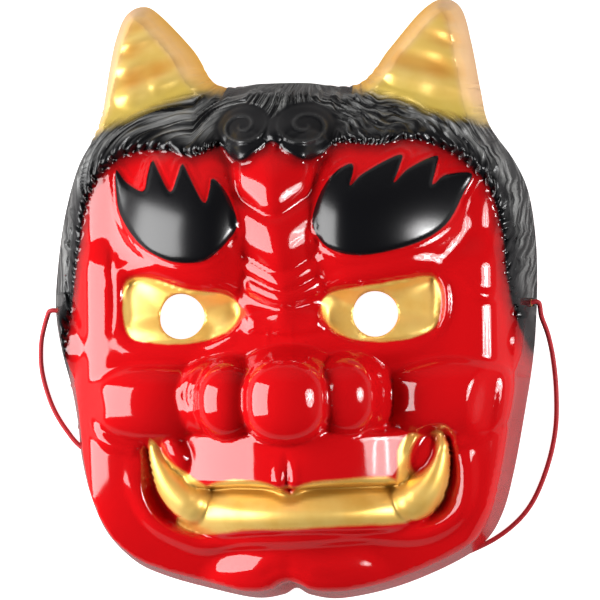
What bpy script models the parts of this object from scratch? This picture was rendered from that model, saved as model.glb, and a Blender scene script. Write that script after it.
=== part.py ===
"""Moulded oni mask on a thin elastic cord.

Metres, +Z out of the face. The mask lies on its rim, face up; +Y is towards the horns and
+X is the viewer's right. The origin is under the middle of the mask, on the floor.
The sheet is one vacuum-formed relief: a height over the floor for every place of the face.
"""
import math

import bpy
import numpy as np
from mathutils import Matrix, Vector
from mathutils.bvhtree import BVHTree
from mathutils.geometry import delaunay_2d_cdt

MM = 0.001

SHEET_THICKNESS = 0.6 * MM
LONGEST_STEP = 3 * SHEET_THICKNESS
FLAT_RIM_BELOW = 0.06 * MM
SHEET_TRIANGLES = 3850
MESH_STEP = 1.7
RIM_ROWS = (0.15, 0.45, 0.9, 1.6, 2.6, 4.0, 5.8, 8.0)

EYE_HOLE_DIAMETER = 17.6 * MM
EYE_HOLE_SIDES = 28

CORD_DIAMETER = 2.0 * MM
CORD_HOLE_DIAMETER = 2.8 * MM
KNOT_RADIUS = 2.7 * MM

RED = (0.80, 0.012, 0.012, 1.0)
CORD_RED = (0.58, 0.010, 0.018, 1.0)

# The face is drawn in millimetres as seen from the front: x to the right, y up to the horns,
# heights over the floor that the rim lies on. Each list below is one kind of carving.

# Rim of the sheet, anticlockwise from the notch in the chin, then both jaws, ears and horns.
OUTLINE = [
    (-2.4, -117.5), (-8, -120.2), (-20, -121.4), (-41, -116.6), (-57, -111.6), (-68.5, -105.8),
    (-79.5, -94.5), (-86, -80), (-89.8, -64), (-91.3, -49), (-93.6, -35), (-97.6, -19), (-99.8, -3),
    (-98.7, 15), (-95.6, 36.7), (-90, 56.5), (-81.6, 71.3), (-78.6, 84.5), (-76.8, 95),
    (-74, 107.5), (-69.6, 117.6), (-62.8, 121.2), (-56, 118), (-42, 103), (-31.4, 88),
    (-14, 88.6), (4, 88.6), (26, 87.2), (38, 101.2), (51.5, 116.6), (60.5, 121.6), (68, 117.4),
    (72, 103), (75.4, 84), (78.6, 70), (88.4, 55.5), (94.2, 42), (96.9, 22), (97, 0), (95.2, -24),
    (91, -49), (86.6, -71), (82, -87), (75, -98.4), (62, -107.3), (39, -117), (16.5, -121.8), (3.6, -120.4),
]
# Lower edge of the hair on the skin, from the left ear over the forehead to the right ear.
HAIRLINE = [
    (-94, -30), (-90.2, -22), (-88.8, -5), (-85.4, 14), (-81.6, 37), (-74, 52), (-61.6, 59.6), (-47, 59.6),
    (-38, 57), (-33, 58.2), (-26, 61), (-20.4, 55.6), (-15.6, 54.8), (-10, 58.6), (-4.6, 61.6), (1.6, 57.4),
    (8, 54.6), (14, 56.6), (20, 61.4), (36, 60.4), (45, 62.4), (53, 62), (61, 59), (69, 54), (79, 43),
    (84, 25), (85, 11), (88.4, -6), (91.6, -15), (96, -24),
]
EYE_LEFT = [
    (-63.6, 8), (-53, 9), (-38, 4.4), (-24, 2.4), (-18.4, -4), (-23, -11.4), (-36, -16),
    (-53, -16), (-62.6, -13), (-64.8, -4),
]
EYE_RIGHT = [
    (13.4, -3), (18, 2.8), (35.4, 5.6), (54, 8.4), (58.4, 6.4), (59.6, -1), (57.4, -10.6),
    (48, -15.2), (32, -16.4), (19, -12.4),
]
# Flame-topped brows: the points of the flames and the notches between them, then round below.
BROW_LEFT = [
    (-68.2, 52.4), (-63.6, 47.2), (-56, 43.4), (-54.6, 50), (-53, 55.8), (-49.6, 50.6), (-44.4, 42.6),
    (-42, 48.6), (-40.2, 53.8), (-36.8, 48.4), (-30.8, 38), (-28.8, 43), (-28, 47.8), (-23, 43),
    (-18.8, 34),
    (-18.8, 27), (-28, 17), (-36, 14.8), (-46, 16.2), (-57, 22.6), (-65.6, 34), (-68, 44),
]
BROW_RIGHT = [
    (22.6, 51.4), (26.6, 52.4), (26.8, 48.6), (25.8, 43.8), (31, 48.8), (44.8, 56.2), (44.4, 50.6),
    (42.6, 44.6),
    (48, 50.4), (58.6, 55.8), (58.6, 51), (57.2, 43.8), (62, 48), (72.2, 48.6), (69, 40.8), (62, 28.2),
    (49, 20.6), (30, 16.8), (17, 20), (11, 29), (13, 39), (17.6, 47),
]
TEETH = [
    (-31.6, -72.6), (-19, -69.6), (-7, -71), (0.4, -75.6), (7.4, -71.2), (23, -69.6), (41, -70.6),
    (46.6, -85.8),
    (25, -86.8), (-1, -88), (-16, -88.4), (-35, -91), (-45.6, -87.4), (-40, -82),
]
MOUTH = [
    (-57, -56), (-46, -66), (-36, -72.6), (-20, -70.6), (-9, -71), (0.4, -75.8), (9, -71), (26, -70.2),
    (41, -70.6),
    (46, -60), (52, -50.6), (62, -49.6), (65, -62), (64.6, -74), (59, -85), (46, -89), (12, -88.6),
    (-16, -89.8),
    (-36, -92.6), (-49, -88.6), (-57, -78), (-58.6, -66),
]
EYE_HOLE_LEFT = (-41.4, -5.8)
EYE_HOLE_RIGHT = (34.3, -5.8)

# The plain dome: its height, how far it falls to the sides, the chin and the hair, and under the brows.
FACE_HEIGHT = 50.0
FALL_TO_SIDES = 26.0
FALL_TO_CHIN = 28.0
FALL_TO_HAIR = 26.0
FALL_OF_FOREHEAD = 5.0
LEAST_HEIGHT = 8.0

# The shoulder all round: its height, its width on the face and on each side of a horn.
SHOULDER_HEIGHT = 44.0
SHOULDER_WIDTH = 12.0
HORN_INNER_WIDTH = 6.5
HORN_OUTER_WIDTH = 3.5
RIM_LIFT = 3.2
HORN_HEIGHT = 31.0
HORN_SLOPE = 0.30

SOCKET_DEPTH = 3.0
SOCKET_EDGE = 2.5
SOCKET_REACH = 6.0
EYE_RECESS = 2.0
EYE_BULGE = 4.6
EYE_DOMES = [(-44.0, -4.0, 24.0, 16.0), (39.5, -4.0, 24.0, 16.0)]
BROW_RISE = 2.0
BROW_SHOULDER = 2.2
MOUTH_DEPTH = 5.0
MOUTH_SLOPE = 4.0

# Hair: how far it stands out, then the pitch and height of its locks and of the tufts along them.
HAIR_RISE = 3.0
LOCK_PITCH = 5.4
LOCK_HEIGHT = 0.75
TUFT_PITCH = 9.0
TUFT_HEIGHT = 0.4
CURL_RISE = 1.8
CURL_LINE = 0.5
LOBE_RISE = 1.6

# Broad rises: centre x, y, then half widths to the left, right, chin and horns, foot, peak, blend.
BONES = [
    (-31, 26, 42, 29, 38, 44, 39, 64.0, 5.0),
    (25.5, 27, 29, 50, 38, 44, 39, 64.0, 5.0),
    (-1, -16, 58, 58, 40, 34, 38, 57.5, 3.0),
    (1, -56, 46, 46, 60, 34, 34, 60.0, 4.0),
]
POUCHES = [
    (-45, -18, 36, 30, 12, 15, 44, 53.0, 2.0),
    (40, -18, 30, 36, 12, 15, 44, 53.0, 2.0),
]
# Round swellings, in the order they are blended in: centre x, y, half width, half length,
# foot, peak, turn in degrees, squareness across and along, blend.
CHEEKS = [
    (-50, -39.5, 33.6, 19.5, 33, 59.0, 0, 2.2, 2.6, 2.4),
    (60, -38.5, 28.4, 19.5, 34, 59.0, 2, 2.1, 2.6, 2.4),
]
NOSE = [
    (-22.5, -38, 22.5, 17.0, 49, 64.5, 0, 2.6, 2.4, 2.4),
    (21, -38, 19.5, 17.0, 49, 64.0, 0, 2.6, 2.4, 2.4),
    (0.5, -38.5, 30.0, 16.0, 55, 72.0, 0, 2.6, 2.4, 2.0),
    (-22.0, -38.5, 14.0, 15.5, 59.5, 74.0, 0, 2.0, 2.2, 2.6),
    (22.5, -37.5, 13.5, 15.5, 59.5, 74.0, 0, 2.0, 2.2, 2.6),
    (0.6, -38.5, 17.0, 17.0, 68.5, 83.5, 0, 2.1, 2.4, 2.2),
]
# Broad bars bent round the face: middle x, y, radius to the left and right, half length,
# squareness along, height, fall to the ends, blend.
UPPER_LIP = (1.5, -61.5, 48.0, 56.0, 11.5, 14.0, 69.0, 10.0, 1.6)
TEETH_BAR = (3.0, -83.0, 56.0, 64.0, 8.0, 2.2, 61.5, 6.0, 1.2)
CHIN = (0.5, -105.5, 50.0, 56.0, 12.0, 2.0, 46.0, 6.5, 3.0)
LIP_FOLDS = [
    (-43.6, -59.5, 6.4, 11.5, 42, 55.0, 34, 2.0, 2.0, 2.0),
    (48.2, -60.0, 6.0, 11.5, 42, 55.5, -20, 2.0, 2.0, 2.0),
]
# Ridges and grooves: each is a line of x, y, half width, height, a groove with minus heights.
LIDS = [
    [(-70, 8, 3, 0.3), (-64, 13, 4, 0.9), (-52, 14, 5, 1.0), (-40, 11, 5, 1.0), (-28, 7.4, 4.5, 0.8),
     (-18, 4, 4, 0.3)],
    [(-67, -16, 3, 0.4), (-58, -20.4, 3.6, 1.2), (-46, -21.2, 3.8, 1.4), (-34, -20, 3.8, 1.2),
     (-22, -15, 3.6, 0.6)],
    [(66, 10, 3, 0.3), (58, 13, 4.4, 0.9), (46, 12.2, 5, 1.0), (32, 9.4, 5, 1.0), (20, 7, 4.5, 0.8),
     (12, 3, 4, 0.3)],
    [(57, 10.4, 1.4, 0.4), (61, 6, 1.8, 1.5), (62.2, -2, 2.0, 1.8), (60.4, -10, 2.0, 1.5),
     (55, -16.4, 2.6, 1.3),
     (43, -20.0, 3.6, 1.4), (28, -19.6, 3.8, 1.2), (17, -14, 3.4, 0.4)],
]
BROW_FOLDS = [
    [(12.6, 32, 1.6, 0.2), (11.2, 24, 2.6, 1.2), (10.4, 14, 1.6, 0.2)],
    [(-19, 34, 1.4, 0.2), (-17.6, 26, 1.8, 0.8), (-17.4, 18, 1.4, 0.2)],
]
NOSE_LINES = [
    [(-7.6, -9, 1.2, 0.1), (-7.4, -14, 1.4, 0.35), (-7.6, -19, 1.2, 0.1)],
    [(2.2, -9, 1.2, 0.1), (2.2, -14, 1.4, 0.35), (2.4, -19, 1.2, 0.1)],
]
# Roof-shaped bridge between the brows: its crest at the shield and by the eyes, then its form.
BRIDGE_TOP = (-4.6, 44.0)
BRIDGE_FOOT = (-0.6, -2.0)
BRIDGE_MIDDLE = 33.0
BRIDGE_HEIGHT = 63.0
BRIDGE_FALL_DOWN = 0.0030
BRIDGE_FALL_UP = 0.0105
BRIDGE_SLOPE = 0.60
BRIDGE_CREST = 3.4
BRIDGE_HALF_WIDTH = 9.0
# V-shaped folds across it: place on the crest, reach down and up, height, slant of the V.
PLEATS = [
    (43.0, 11.0, 15.0, 3.0, 0.80),
    (22.5, 12.0, 9.5, 2.8, 0.70),
    (6.0, 3.0, 4.0, 1.3, 0.65),
    (0.2, 4.0, 3.0, 1.8, 0.50),
    (-9.5, 5.0, 6.0, 2.4, 0.15),
]
WING_FOLDS = [
    [(-39, -28, 1.6, 0.3), (-41.6, -36, 1.8, 1.0), (-39.6, -44, 1.6, 0.3)],
    [(-36, -29, 1.4, 0.3), (-37.8, -36, 1.6, 0.9), (-36.4, -43, 1.4, 0.3)],
    [(37, -30, 1.4, 0.3), (38.6, -36, 1.6, 0.9), (37.6, -43, 1.4, 0.3)],
]
PHILTRUM = [
    [(0.2, -59, 1.4, -0.3), (0.3, -66, 1.6, -1.3), (0.4, -74, 1.6, -2.0)],
    [(-3.4, -62, 2.0, 0.2), (-3.2, -68, 2.4, 0.7), (-2.4, -73, 2.0, 0.9)],
    [(4.0, -62, 2.0, 0.2), (3.8, -68, 2.4, 0.7), (3.0, -73, 2.0, 0.9)],
]
TEETH_GROOVE = [
    [(-33, -76.6, 3.0, -0.4), (-21, -77.8, 4.0, -1.0), (-8, -78.6, 4.0, -1.0), (5, -79, 4.0, -1.0),
     (26, -78.6, 4.0, -1.0), (38, -76.6, 3.0, -0.4)],
]
LOWER_LIP = [
    [(-63, -62, 3.4, 0.2), (-61.6, -74, 4.6, 1.1), (-55, -86.4, 5.2, 2.6), (-44, -93.4, 5.2, 3.0),
     (-34, -96.2, 5.2, 3.0), (-18, -93.8, 5.2, 2.8), (2, -92.8, 5.2, 2.8), (26, -92, 5.2, 2.8),
     (46, -93.2, 5.2, 2.8), (58, -90, 5.2, 2.6), (67, -82, 5.0, 2.4), (69.6, -70, 4.8, 1.8),
     (67.6, -57, 4, 0.9),
     (62, -50, 3, 0.3)],
]
CHEEK_FOLDS = [
    [(60, -57.5, 3, 0.6), (70, -54.6, 4, 2.2), (82, -48, 3.4, 1.4), (88, -42, 3, 0.4)],
    [(-80, -46, 3, 0.5), (-72, -54.6, 4, 1.6), (-62, -58, 3.6, 1.6)],
]
CHIN_CLEFT = [[(-2.4, -122, 5, -4.0), (-2.2, -112, 4.4, -2.6), (-1.5, -102, 4, -0.4)]]
TEMPLES = [
    [(-70, 22, 1.6, -0.2), (-69.4, 12, 1.8, -0.9), (-69, -2, 1.8, -0.9), (-70, -12, 1.6, -0.2)],
    [(66, 22, 3, -0.3), (68.5, 10, 3.4, -1.0), (70, -4, 3.4, -1.0), (69, -14, 3, -0.3)],
    [(67, 8, 2.6, 0.3), (75, 1, 3.4, 1.2), (84, 1.6, 2.6, 0.3)],
]
# Tusks, half round: x, y, half width, foot, height over the foot, from the tip to the root.
TUSKS = [
    [(-54.8, -53, 0.9, 47, 2.0), (-53.4, -58.6, 2.5, 46.5, 4.0), (-50.6, -65.4, 4.6, 45, 7.0),
     (-46.6, -72.2, 6.8, 43.5, 9.5), (-41.4, -77.6, 8.2, 42.5, 11.0), (-38.6, -79.6, 8.2, 42, 11.0)],
    [(59.6, -51.6, 1.1, 47, 2.0), (59.2, -58, 3.0, 46.5, 4.4), (57.4, -65.6, 5.0, 45, 7.4),
     (54.0, -72.6, 7.0, 43.5, 9.8), (49.6, -77.4, 8.4, 42.5, 11.2), (46.6, -79.4, 8.4, 42, 11.2)],
]
# The three swellings across each horn.
HORN_RINGS = [
    [(-70, 81, 5, 0.2), (-61, 83.4, 8, 1.5), (-50, 87.6, 7, 1.2), (-42, 91, 4, 0.2)],
    [(-71, 92.6, 4, 0.2), (-64, 94.6, 6, 1.2), (-55, 97.8, 5, 0.7), (-50, 100, 3, 0.1)],
    [(-69, 102.4, 4, 0.2), (-64, 103.4, 5, 1.1), (-58, 105.4, 4, 0.6), (-55, 107, 3, 0.1)],
    [(37, 89, 4, 0.2), (44, 88.2, 7, 1.2), (56, 85.0, 8, 1.5), (68, 81.0, 6, 0.8), (71, 80.4, 4, 0.2)],
    [(44, 100, 3, 0.1), (52, 99.8, 5, 0.8), (61, 97.2, 6, 1.2), (68, 93.8, 5, 0.3)],
    [(53, 108, 3, 0.1), (59, 107.2, 5, 0.8), (65, 105.0, 5, 1.1), (69, 103, 4, 0.2)],
]
# Where the gold of each horn meets the hair, x and y.
HORN_FOOT_LEFT = [(-78, 69), (-68, 73), (-58, 77), (-49, 81), (-40, 83.4), (-28, 85)]
HORN_FOOT_RIGHT = [(24, 85), (38, 82), (47, 79), (56, 75), (65, 72.4), (78, 71)]
# Curls over the forehead: centre x, y, half width, half length, hand of the spiral.
CURLS = [(-15.5, 69.5, 10.5, 7.6, 1), (8.2, 68.4, 11.0, 8.4, -1)]
CURL_LOBES = [(-16.0, 59.8, 8.6, 6.4), (8.0, 59.8, 9.6, 6.6), (-3.2, 66, 3.4, 6.0)]

def smooth_step(value):
    """0 to 1 with soft ends"""
    value = np.clip(value, 0.0, 1.0)
    return value * value * (3.0 - 2.0 * value)

def blend_over(low, high, soft):
    """the higher of two heights, with a soft join"""
    share = np.clip(0.5 + 0.5 * (low - high) / soft, 0.0, 1.0)
    return high + (low - high) * share + soft * share * (1.0 - share)

def blend_under(first, second, soft):
    """the lower of two heights, with a soft join"""
    return -blend_over(-first, -second, soft)

def smooth_line(points, closed=False, steps=5):
    """a smooth line through hand-placed points, with as many columns as they have"""
    p = np.array(points, dtype=float)
    if closed:
        p = np.vstack([p[-1:], p, p[:2]])
    else:
        p = np.vstack([2 * p[0] - p[1], p, 2 * p[-1] - p[-2]])
    t = np.arange(steps)[:, None] / steps
    line = []
    for a, b, c, d in zip(p, p[1:], p[2:], p[3:]):
        line.append(0.5 * (2 * b + (c - a) * t + (2 * a - 5 * b + 4 * c - d) * t ** 2
                           + (3 * b - a - 3 * c + d) * t ** 3))
    line = np.vstack(line)
    return line if closed else np.vstack([line, p[-2:-1]])

def nearest(x, y, line, reach):
    """distance to a line, no more than reach, and the line's columns at the nearest place"""
    distance = np.full(x.shape, float(reach))
    columns = np.zeros((len(x), line.shape[1]))
    low = line[:, :2].min(axis=0) - reach
    high = line[:, :2].max(axis=0) + reach
    box = (x > low[0]) & (x < high[0]) & (y > low[1]) & (y < high[1])
    px, py = x[box], y[box]
    best, found = distance[box], columns[box]
    for a, b in zip(line[:-1], line[1:]):
        dx, dy = b[0] - a[0], b[1] - a[1]
        share = np.clip(((px - a[0]) * dx + (py - a[1]) * dy) / (dx * dx + dy * dy + 1e-12), 0, 1)
        away = np.hypot(px - a[0] - share * dx, py - a[1] - share * dy)
        closer = away < best
        best[closer] = away[closer]
        found[closer] = a + (b - a) * share[closer][:, None]
    distance[box] = best
    columns[box] = found
    return distance, columns

def inside(x, y, loop):
    """which points lie in a closed loop"""
    odd = np.zeros(x.shape, dtype=bool)
    for a, b in zip(loop, np.roll(loop, -1, axis=0)):
        if a[1] == b[1]:
            continue
        crosses = (a[1] > y) != (b[1] > y)
        odd ^= crosses & (x < (b[0] - a[0]) * (y - a[1]) / (b[1] - a[1]) + a[0])
    return odd

def depth_in(x, y, loop, reach=40.0):
    """distance to the edge of a loop: plus inside, minus outside, no more than reach"""
    ring = np.vstack([loop, loop[:1]])
    distance, _ = nearest(x, y, ring, reach)
    return np.where(inside(x, y, loop), distance, -distance)

def along_axes(x, y, centre_x, centre_y, half_x, half_y, turn):
    """place in an ellipse's own axes, 1 at its rim"""
    c, s = math.cos(math.radians(turn)), math.sin(math.radians(turn))
    across = ((x - centre_x) * c + (y - centre_y) * s) / half_x
    along = (-(x - centre_x) * s + (y - centre_y) * c) / half_y
    return across, along

def add_rises(z, x, y, rises):
    """broad, low mounds"""
    for cx, cy, left, right, down, up, foot, peak, soft in rises:
        u = (x - cx) / np.where(x < cx, left, right)
        v = (y - cy) / np.where(y < cy, down, up)
        z = blend_over(z, foot + (peak - foot) * (1.0 - u * u - v * v), soft)
    return z

def add_swellings(z, x, y, swellings):
    """balls and long rolls that stand out of the face"""
    for cx, cy, half_x, half_y, foot, peak, turn, square_x, square_y, soft in swellings:
        u, v = along_axes(x, y, cx, cy, half_x, half_y, turn)
        r = np.abs(u) ** square_x + np.abs(v) ** square_y
        rise = np.sqrt(np.clip(1.0 - r, 0.0, 1.0))
        outside = (peak - foot) * np.clip(r - 1.0, 0.0, 3.0)
        z = blend_over(z, foot + (peak - foot) * rise - outside, soft)
    return z

def add_bar(z, x, y, bar):
    """a wide bar bent round the face, such as the upper lip"""
    cx, cy, radius_left, radius_right, half_y, square, height, fall, soft = bar
    bend = (x - cx) ** 2 / (2.0 * np.where(x < cx, radius_left, radius_right))
    ends = fall * np.minimum(np.abs((y - cy) / half_y) ** square, 4.0)
    return blend_over(z, height - bend - ends, soft)

def add_strokes(z, x, y, strokes):
    """soft ridges and grooves"""
    for stroke in strokes:
        line = smooth_line(stroke)
        distance, found = nearest(x, y, line, line[:, 2].max())
        t = np.clip(distance / np.maximum(found[:, 2], 0.3), 0.0, 1.0)
        z = z + found[:, 3] * (1.0 - t * t) ** 2
    return z

def add_dome(z, x, y, edge, ellipse, height):
    """a rounded rise inside a loop, cut off at the loop's edge"""
    u, v = along_axes(x, y, *ellipse, 0.0)
    dome = np.sqrt(np.clip(1.0 - u * u - v * v, 0.0, 1.0))
    return z + height * smooth_step((edge + 0.5) / 1.5) * dome

def plateau(edge, height, reach):
    """a flat rise with a rounded shoulder inside a loop"""
    t = np.clip(edge / reach, 0.0, 1.0)
    return height * (1.0 - (1.0 - t) ** 2)

def add_bridge(z, x, y):
    """the bridge of the nose: a roof with a rounded crest, and pleats across it like shingles"""
    low_x, low_y = BRIDGE_FOOT
    top_x, top_y = BRIDGE_TOP
    crest_x = low_x + (top_x - low_x) * smooth_step((y - low_y) / (top_y - low_y))
    away = np.sqrt((x - crest_x) ** 2 + BRIDGE_CREST ** 2) - BRIDGE_CREST
    fall = np.where(y < BRIDGE_MIDDLE, BRIDGE_FALL_DOWN, BRIDGE_FALL_UP) * (y - BRIDGE_MIDDLE) ** 2
    z = blend_over(z, BRIDGE_HEIGHT - BRIDGE_SLOPE * away - fall, 2.4)
    across = 1.0 - smooth_step((away - BRIDGE_HALF_WIDTH) / 5.0)
    for place, down, up, height, slant in PLEATS:
        along = y - slant * away - place
        t = np.clip(np.abs(along) / np.where(along < 0, down, up), 0.0, 1.0)
        z = z + height * (1.0 - t ** 2.6) * across
    return z

def face_loop():
    """the skin's own area: the hairline, closed below the chin"""
    return np.vstack([smooth_line(HAIRLINE), [(140, -60), (60, -200), (-60, -200), (-140, -60)]])

def horn_amount(x, y):
    """distance above the line where the horns stand out of the hair, minus below it"""
    left = y - np.interp(x, *np.array(HORN_FOOT_LEFT).T)
    right = y - np.interp(x, *np.array(HORN_FOOT_RIGHT).T)
    horn = np.where(x < 0, left, right)
    between = (x > HORN_FOOT_LEFT[-1][0]) & (x < HORN_FOOT_RIGHT[0][0])
    return np.where(between, -5.0, horn)

def base_form(x, y):
    """the plain dome of the face"""
    across = FALL_TO_SIDES * (np.abs(x) / 90.0) ** 14
    down = FALL_TO_CHIN * (np.maximum(-12.0 - y, 0.0) / 108.0) ** 4
    up = FALL_TO_HAIR * (np.maximum(y + 5.0, 0.0) / 93.0) ** 3.5
    forehead = FALL_OF_FOREHEAD * smooth_step((y - 12.0) / 16.0)
    return np.maximum(FACE_HEIGHT - across - down - up - forehead, LEAST_HEIGHT)

def add_hair(z, x, y, hair):
    """the hair stands proud of the skin and is combed into short wavy locks away from the face"""
    z = z + HAIR_RISE * smooth_step((hair + 0.8) / 2.4)
    circle = 2 * math.pi
    around = np.arctan2(y - 4.0, x) * 88.0
    wave = 1.5 * np.sin(circle * hair / 13.0 + 0.35 * around)
    lock = np.sin(circle * (around + wave + 0.55 * hair) / LOCK_PITCH)
    tuft = np.sin(circle * hair / TUFT_PITCH + 1.7 * np.sin(circle * around / (2 * LOCK_PITCH)))
    combed = LOCK_HEIGHT * lock * (0.7 + 0.3 * tuft) + TUFT_HEIGHT * tuft
    curled = np.zeros(x.shape)
    for cx, cy, half_x, half_y, hand in CURLS:
        u, v = along_axes(x, y, cx, cy, half_x, half_y, 0.0)
        r = np.hypot(u, v)
        curled = np.maximum(curled, smooth_step((1.25 - r) / 0.25))
        line = np.cos(circle * 1.9 * r - np.arctan2(v, hand * u))
        line = np.where(line < 0, line, 0.4 * line) * smooth_step((1.0 - r) / 0.2) * smooth_step(r / 0.3)
        z = z + CURL_RISE * np.sqrt(np.clip(1.0 - r * r, 0.0, 1.0)) + CURL_LINE * line
    for cx, cy, half_x, half_y in CURL_LOBES:
        u, v = along_axes(x, y, cx, cy, half_x, half_y, 0.0)
        z = z + LOBE_RISE * np.sqrt(np.clip(1.0 - u * u - v * v, 0.0, 1.0))
    return z + combed * smooth_step((hair - 0.2) / 1.6) * (1.0 - curled)

def add_tusks(z, x, y):
    """both tusks, and the distance in from the edge of the nearer one"""
    edge = np.full(x.shape, -12.0)
    for tusk in TUSKS:
        distance, found = nearest(x, y, smooth_line(tusk), 12.0)
        half_width = np.maximum(found[:, 2], 0.3)
        across = np.clip(distance / half_width, 0.0, 1.0)
        surface = found[:, 3] + found[:, 4] * np.sqrt(1.0 - across * across)
        z = np.where(distance < half_width, blend_over(z, surface, 0.6), z)
        edge = np.maximum(edge, np.where(distance < 12.0, found[:, 2] - distance, -12.0))
    return z, edge

def rim_height(x, y):
    """the rim lies on the floor at the chin and along the top, and lifts a little at the jaws"""
    return RIM_LIFT * smooth_step((np.abs(x) - 30.0) / 40.0) * (1.0 - smooth_step((y - 10.0) / 50.0))

def side_wall(x, y, depth):
    """height that the round shoulder has reached at a distance in from the rim"""
    horns = smooth_step((y - 74.0) / 10.0) * (1.0 - np.exp(-((x + 2.0) / 28.0) ** 4))
    toward_middle = np.where(x > 0, 60.0 - x, x + 62.0) + (y - 100.0) * 0.2
    horn_width = HORN_OUTER_WIDTH + (HORN_INNER_WIDTH - HORN_OUTER_WIDTH) * smooth_step(toward_middle / 12.0)
    width = SHOULDER_WIDTH + (horn_width - SHOULDER_WIDTH) * horns
    share = np.clip(depth / width, 0.0, 1.0)
    beyond = np.maximum(depth - width, 0.0)
    rounded = SHOULDER_HEIGHT * np.sqrt(1.0 - (1.0 - share) ** 2) + 0.6 * beyond + 0.06 * beyond ** 2
    return rounded + rim_height(x, y), 5.0 - 2.5 * horns

def depth_in_each(x, y, outlines):
    """distance in from the edge of whichever outline a point is deepest in"""
    return np.max([depth_in(x, y, smooth_line(outline, True)) for outline in outlines], axis=0)

def face_height(x, y):
    """height of the outer surface over the floor, and the areas that paint follows"""
    hair = -depth_in(x, y, face_loop())
    eye = depth_in_each(x, y, [EYE_LEFT, EYE_RIGHT])
    brow = depth_in_each(x, y, [BROW_LEFT, BROW_RIGHT])
    teeth = depth_in_each(x, y, [TEETH])
    mouth = depth_in_each(x, y, [MOUTH])
    depth = depth_in_each(x, y, [OUTLINE])

    z = add_rises(base_form(x, y), x, y, BONES)
    z = z - SOCKET_DEPTH * smooth_step((eye + SOCKET_EDGE) / SOCKET_REACH)
    z = z + plateau(brow + 0.6, BROW_RISE, BROW_SHOULDER)
    z = add_strokes(z, x, y, LIDS)
    z = add_rises(z, x, y, POUCHES)
    z = z - EYE_RECESS * smooth_step((eye + 1.0) / 2.4)
    for dome in EYE_DOMES:
        z = add_dome(z, x, y, eye, dome, EYE_BULGE)
    z = add_bridge(z, x, y)
    z = add_strokes(z, x, y, BROW_FOLDS + NOSE_LINES)
    z = add_swellings(z, x, y, CHEEKS)
    z = add_bar(z, x, y, UPPER_LIP)
    z = add_swellings(z, x, y, NOSE)
    z = add_strokes(z, x, y, WING_FOLDS)
    z = add_swellings(z, x, y, LIP_FOLDS)
    z = add_strokes(z, x, y, PHILTRUM)
    z = z - MOUTH_DEPTH * smooth_step((mouth + 0.8) / MOUTH_SLOPE)
    z = z + (add_bar(z, x, y, TEETH_BAR) - z) * smooth_step((mouth + 3.0) / 3.0)
    z = add_strokes(z, x, y, TEETH_GROOVE)
    z, tusk = add_tusks(z, x, y)
    z = add_strokes(z, x, y, LOWER_LIP + CHEEK_FOLDS)
    z = add_bar(z, x, y, CHIN)
    z = add_strokes(z, x, y, CHIN_CLEFT + TEMPLES)
    z = add_hair(z, x, y, hair)

    horn = horn_amount(x, y)
    horn_front = add_strokes(HORN_HEIGHT - HORN_SLOPE * (y - 80.0), x, y, HORN_RINGS)
    share = smooth_step((horn + 3.0) / 5.0)
    z = z * (1.0 - share) + horn_front * share
    wall, soft = side_wall(x, y, depth)
    z = np.maximum(blend_under(z, wall, soft), rim_height(x, y))
    areas = {"depth": depth, "hair": hair, "eye": eye, "brow": brow, "teeth": teeth, "tusk": tusk}
    areas["horn"] = horn
    return z, areas

# Elastic: x, y, height of its middle, in mm. Out of the left hole, over the floor at the left,
# under the raised rim, round inside the jaw, out under the right rim and back up to its hole.
CORD_ROUTE = [
    (-102.6, -5.2, 7.2), (-105.2, -12.0, 3.6), (-106.5, -18.0, 1.4), (-106.5, -26.0, 1.02),
    (-104.8, -34.5, 1.02),
    (-101.6, -43.5, 1.02), (-96.4, -52.2, 1.02), (-89.4, -60.0, 1.02), (-70.0, -73.6, 1.02),
    (-40.0, -89.6, 1.02),
    (-2.0, -102.4, 1.02), (36.0, -106.8, 1.02), (58.0, -105.8, 1.02), (73.8, -100.4, 1.02),
    (85.6, -92.8, 1.02),
    (94.0, -83.0, 1.02), (100.2, -68.6, 1.02), (103.6, -54.0, 1.02), (104.2, -39.5, 1.02),
    (103.2, -26.0, 1.4),
    (101.2, -15.6, 4.6), (98.6, -8.0, 8.6),
]
# The holes for it: y and height.
CORD_HOLE_LEFT = (-3.0, 9.0)
CORD_HOLE_RIGHT = (-2.4, 10.5)
CORD_POINT_STEP = 6.0
CORD_STRAIGHT = 4 * MM
INSIDE_THE_HOLLOW = 80 * MM
KNOT_STANDOFF = 2.9 * MM
CORD_END = 0.4 * MM
KNOT_FLATTENED = 0.8
PUNCH_LENGTH = 8 * MM
EYE_PUNCH_LENGTH = 60 * MM
UP = Vector((0, 0, 1))

def clear_scene():
    for thing in list(bpy.data.objects):
        bpy.data.objects.remove(thing, do_unlink=True)

def make_collection(name):
    group = bpy.data.collections.new(name)
    bpy.context.scene.collection.children.link(group)
    return group

def make_material(name, colour, roughness):
    material = bpy.data.materials.new(name)
    material.use_nodes = True
    shader = material.node_tree.nodes["Principled BSDF"]
    shader.inputs["Base Color"].default_value = colour
    shader.inputs["Roughness"].default_value = roughness
    shader.inputs["Metallic"].default_value = 0.0
    return material

def add_object(name, data, group, material=None):
    thing = bpy.data.objects.new(name, data)
    group.objects.link(thing)
    if material is not None:
        data.materials.append(material)
    return thing

def face_middle():
    """middle of the outline's box, which stands over the origin"""
    line = smooth_line(OUTLINE, True)
    return (line.min(axis=0) + line.max(axis=0)) / 2.0

def even_loop(line, step):
    """the same closed line with a point about every step"""
    ring = np.vstack([line, line[:1]])
    length = np.concatenate([[0.0], np.cumsum(np.hypot(*np.diff(ring, axis=0).T))])
    count = round(length[-1] / step)
    places = np.arange(count) * length[-1] / count
    return np.column_stack([np.interp(places, length, ring[:, 0]), np.interp(places, length, ring[:, 1])])

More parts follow.
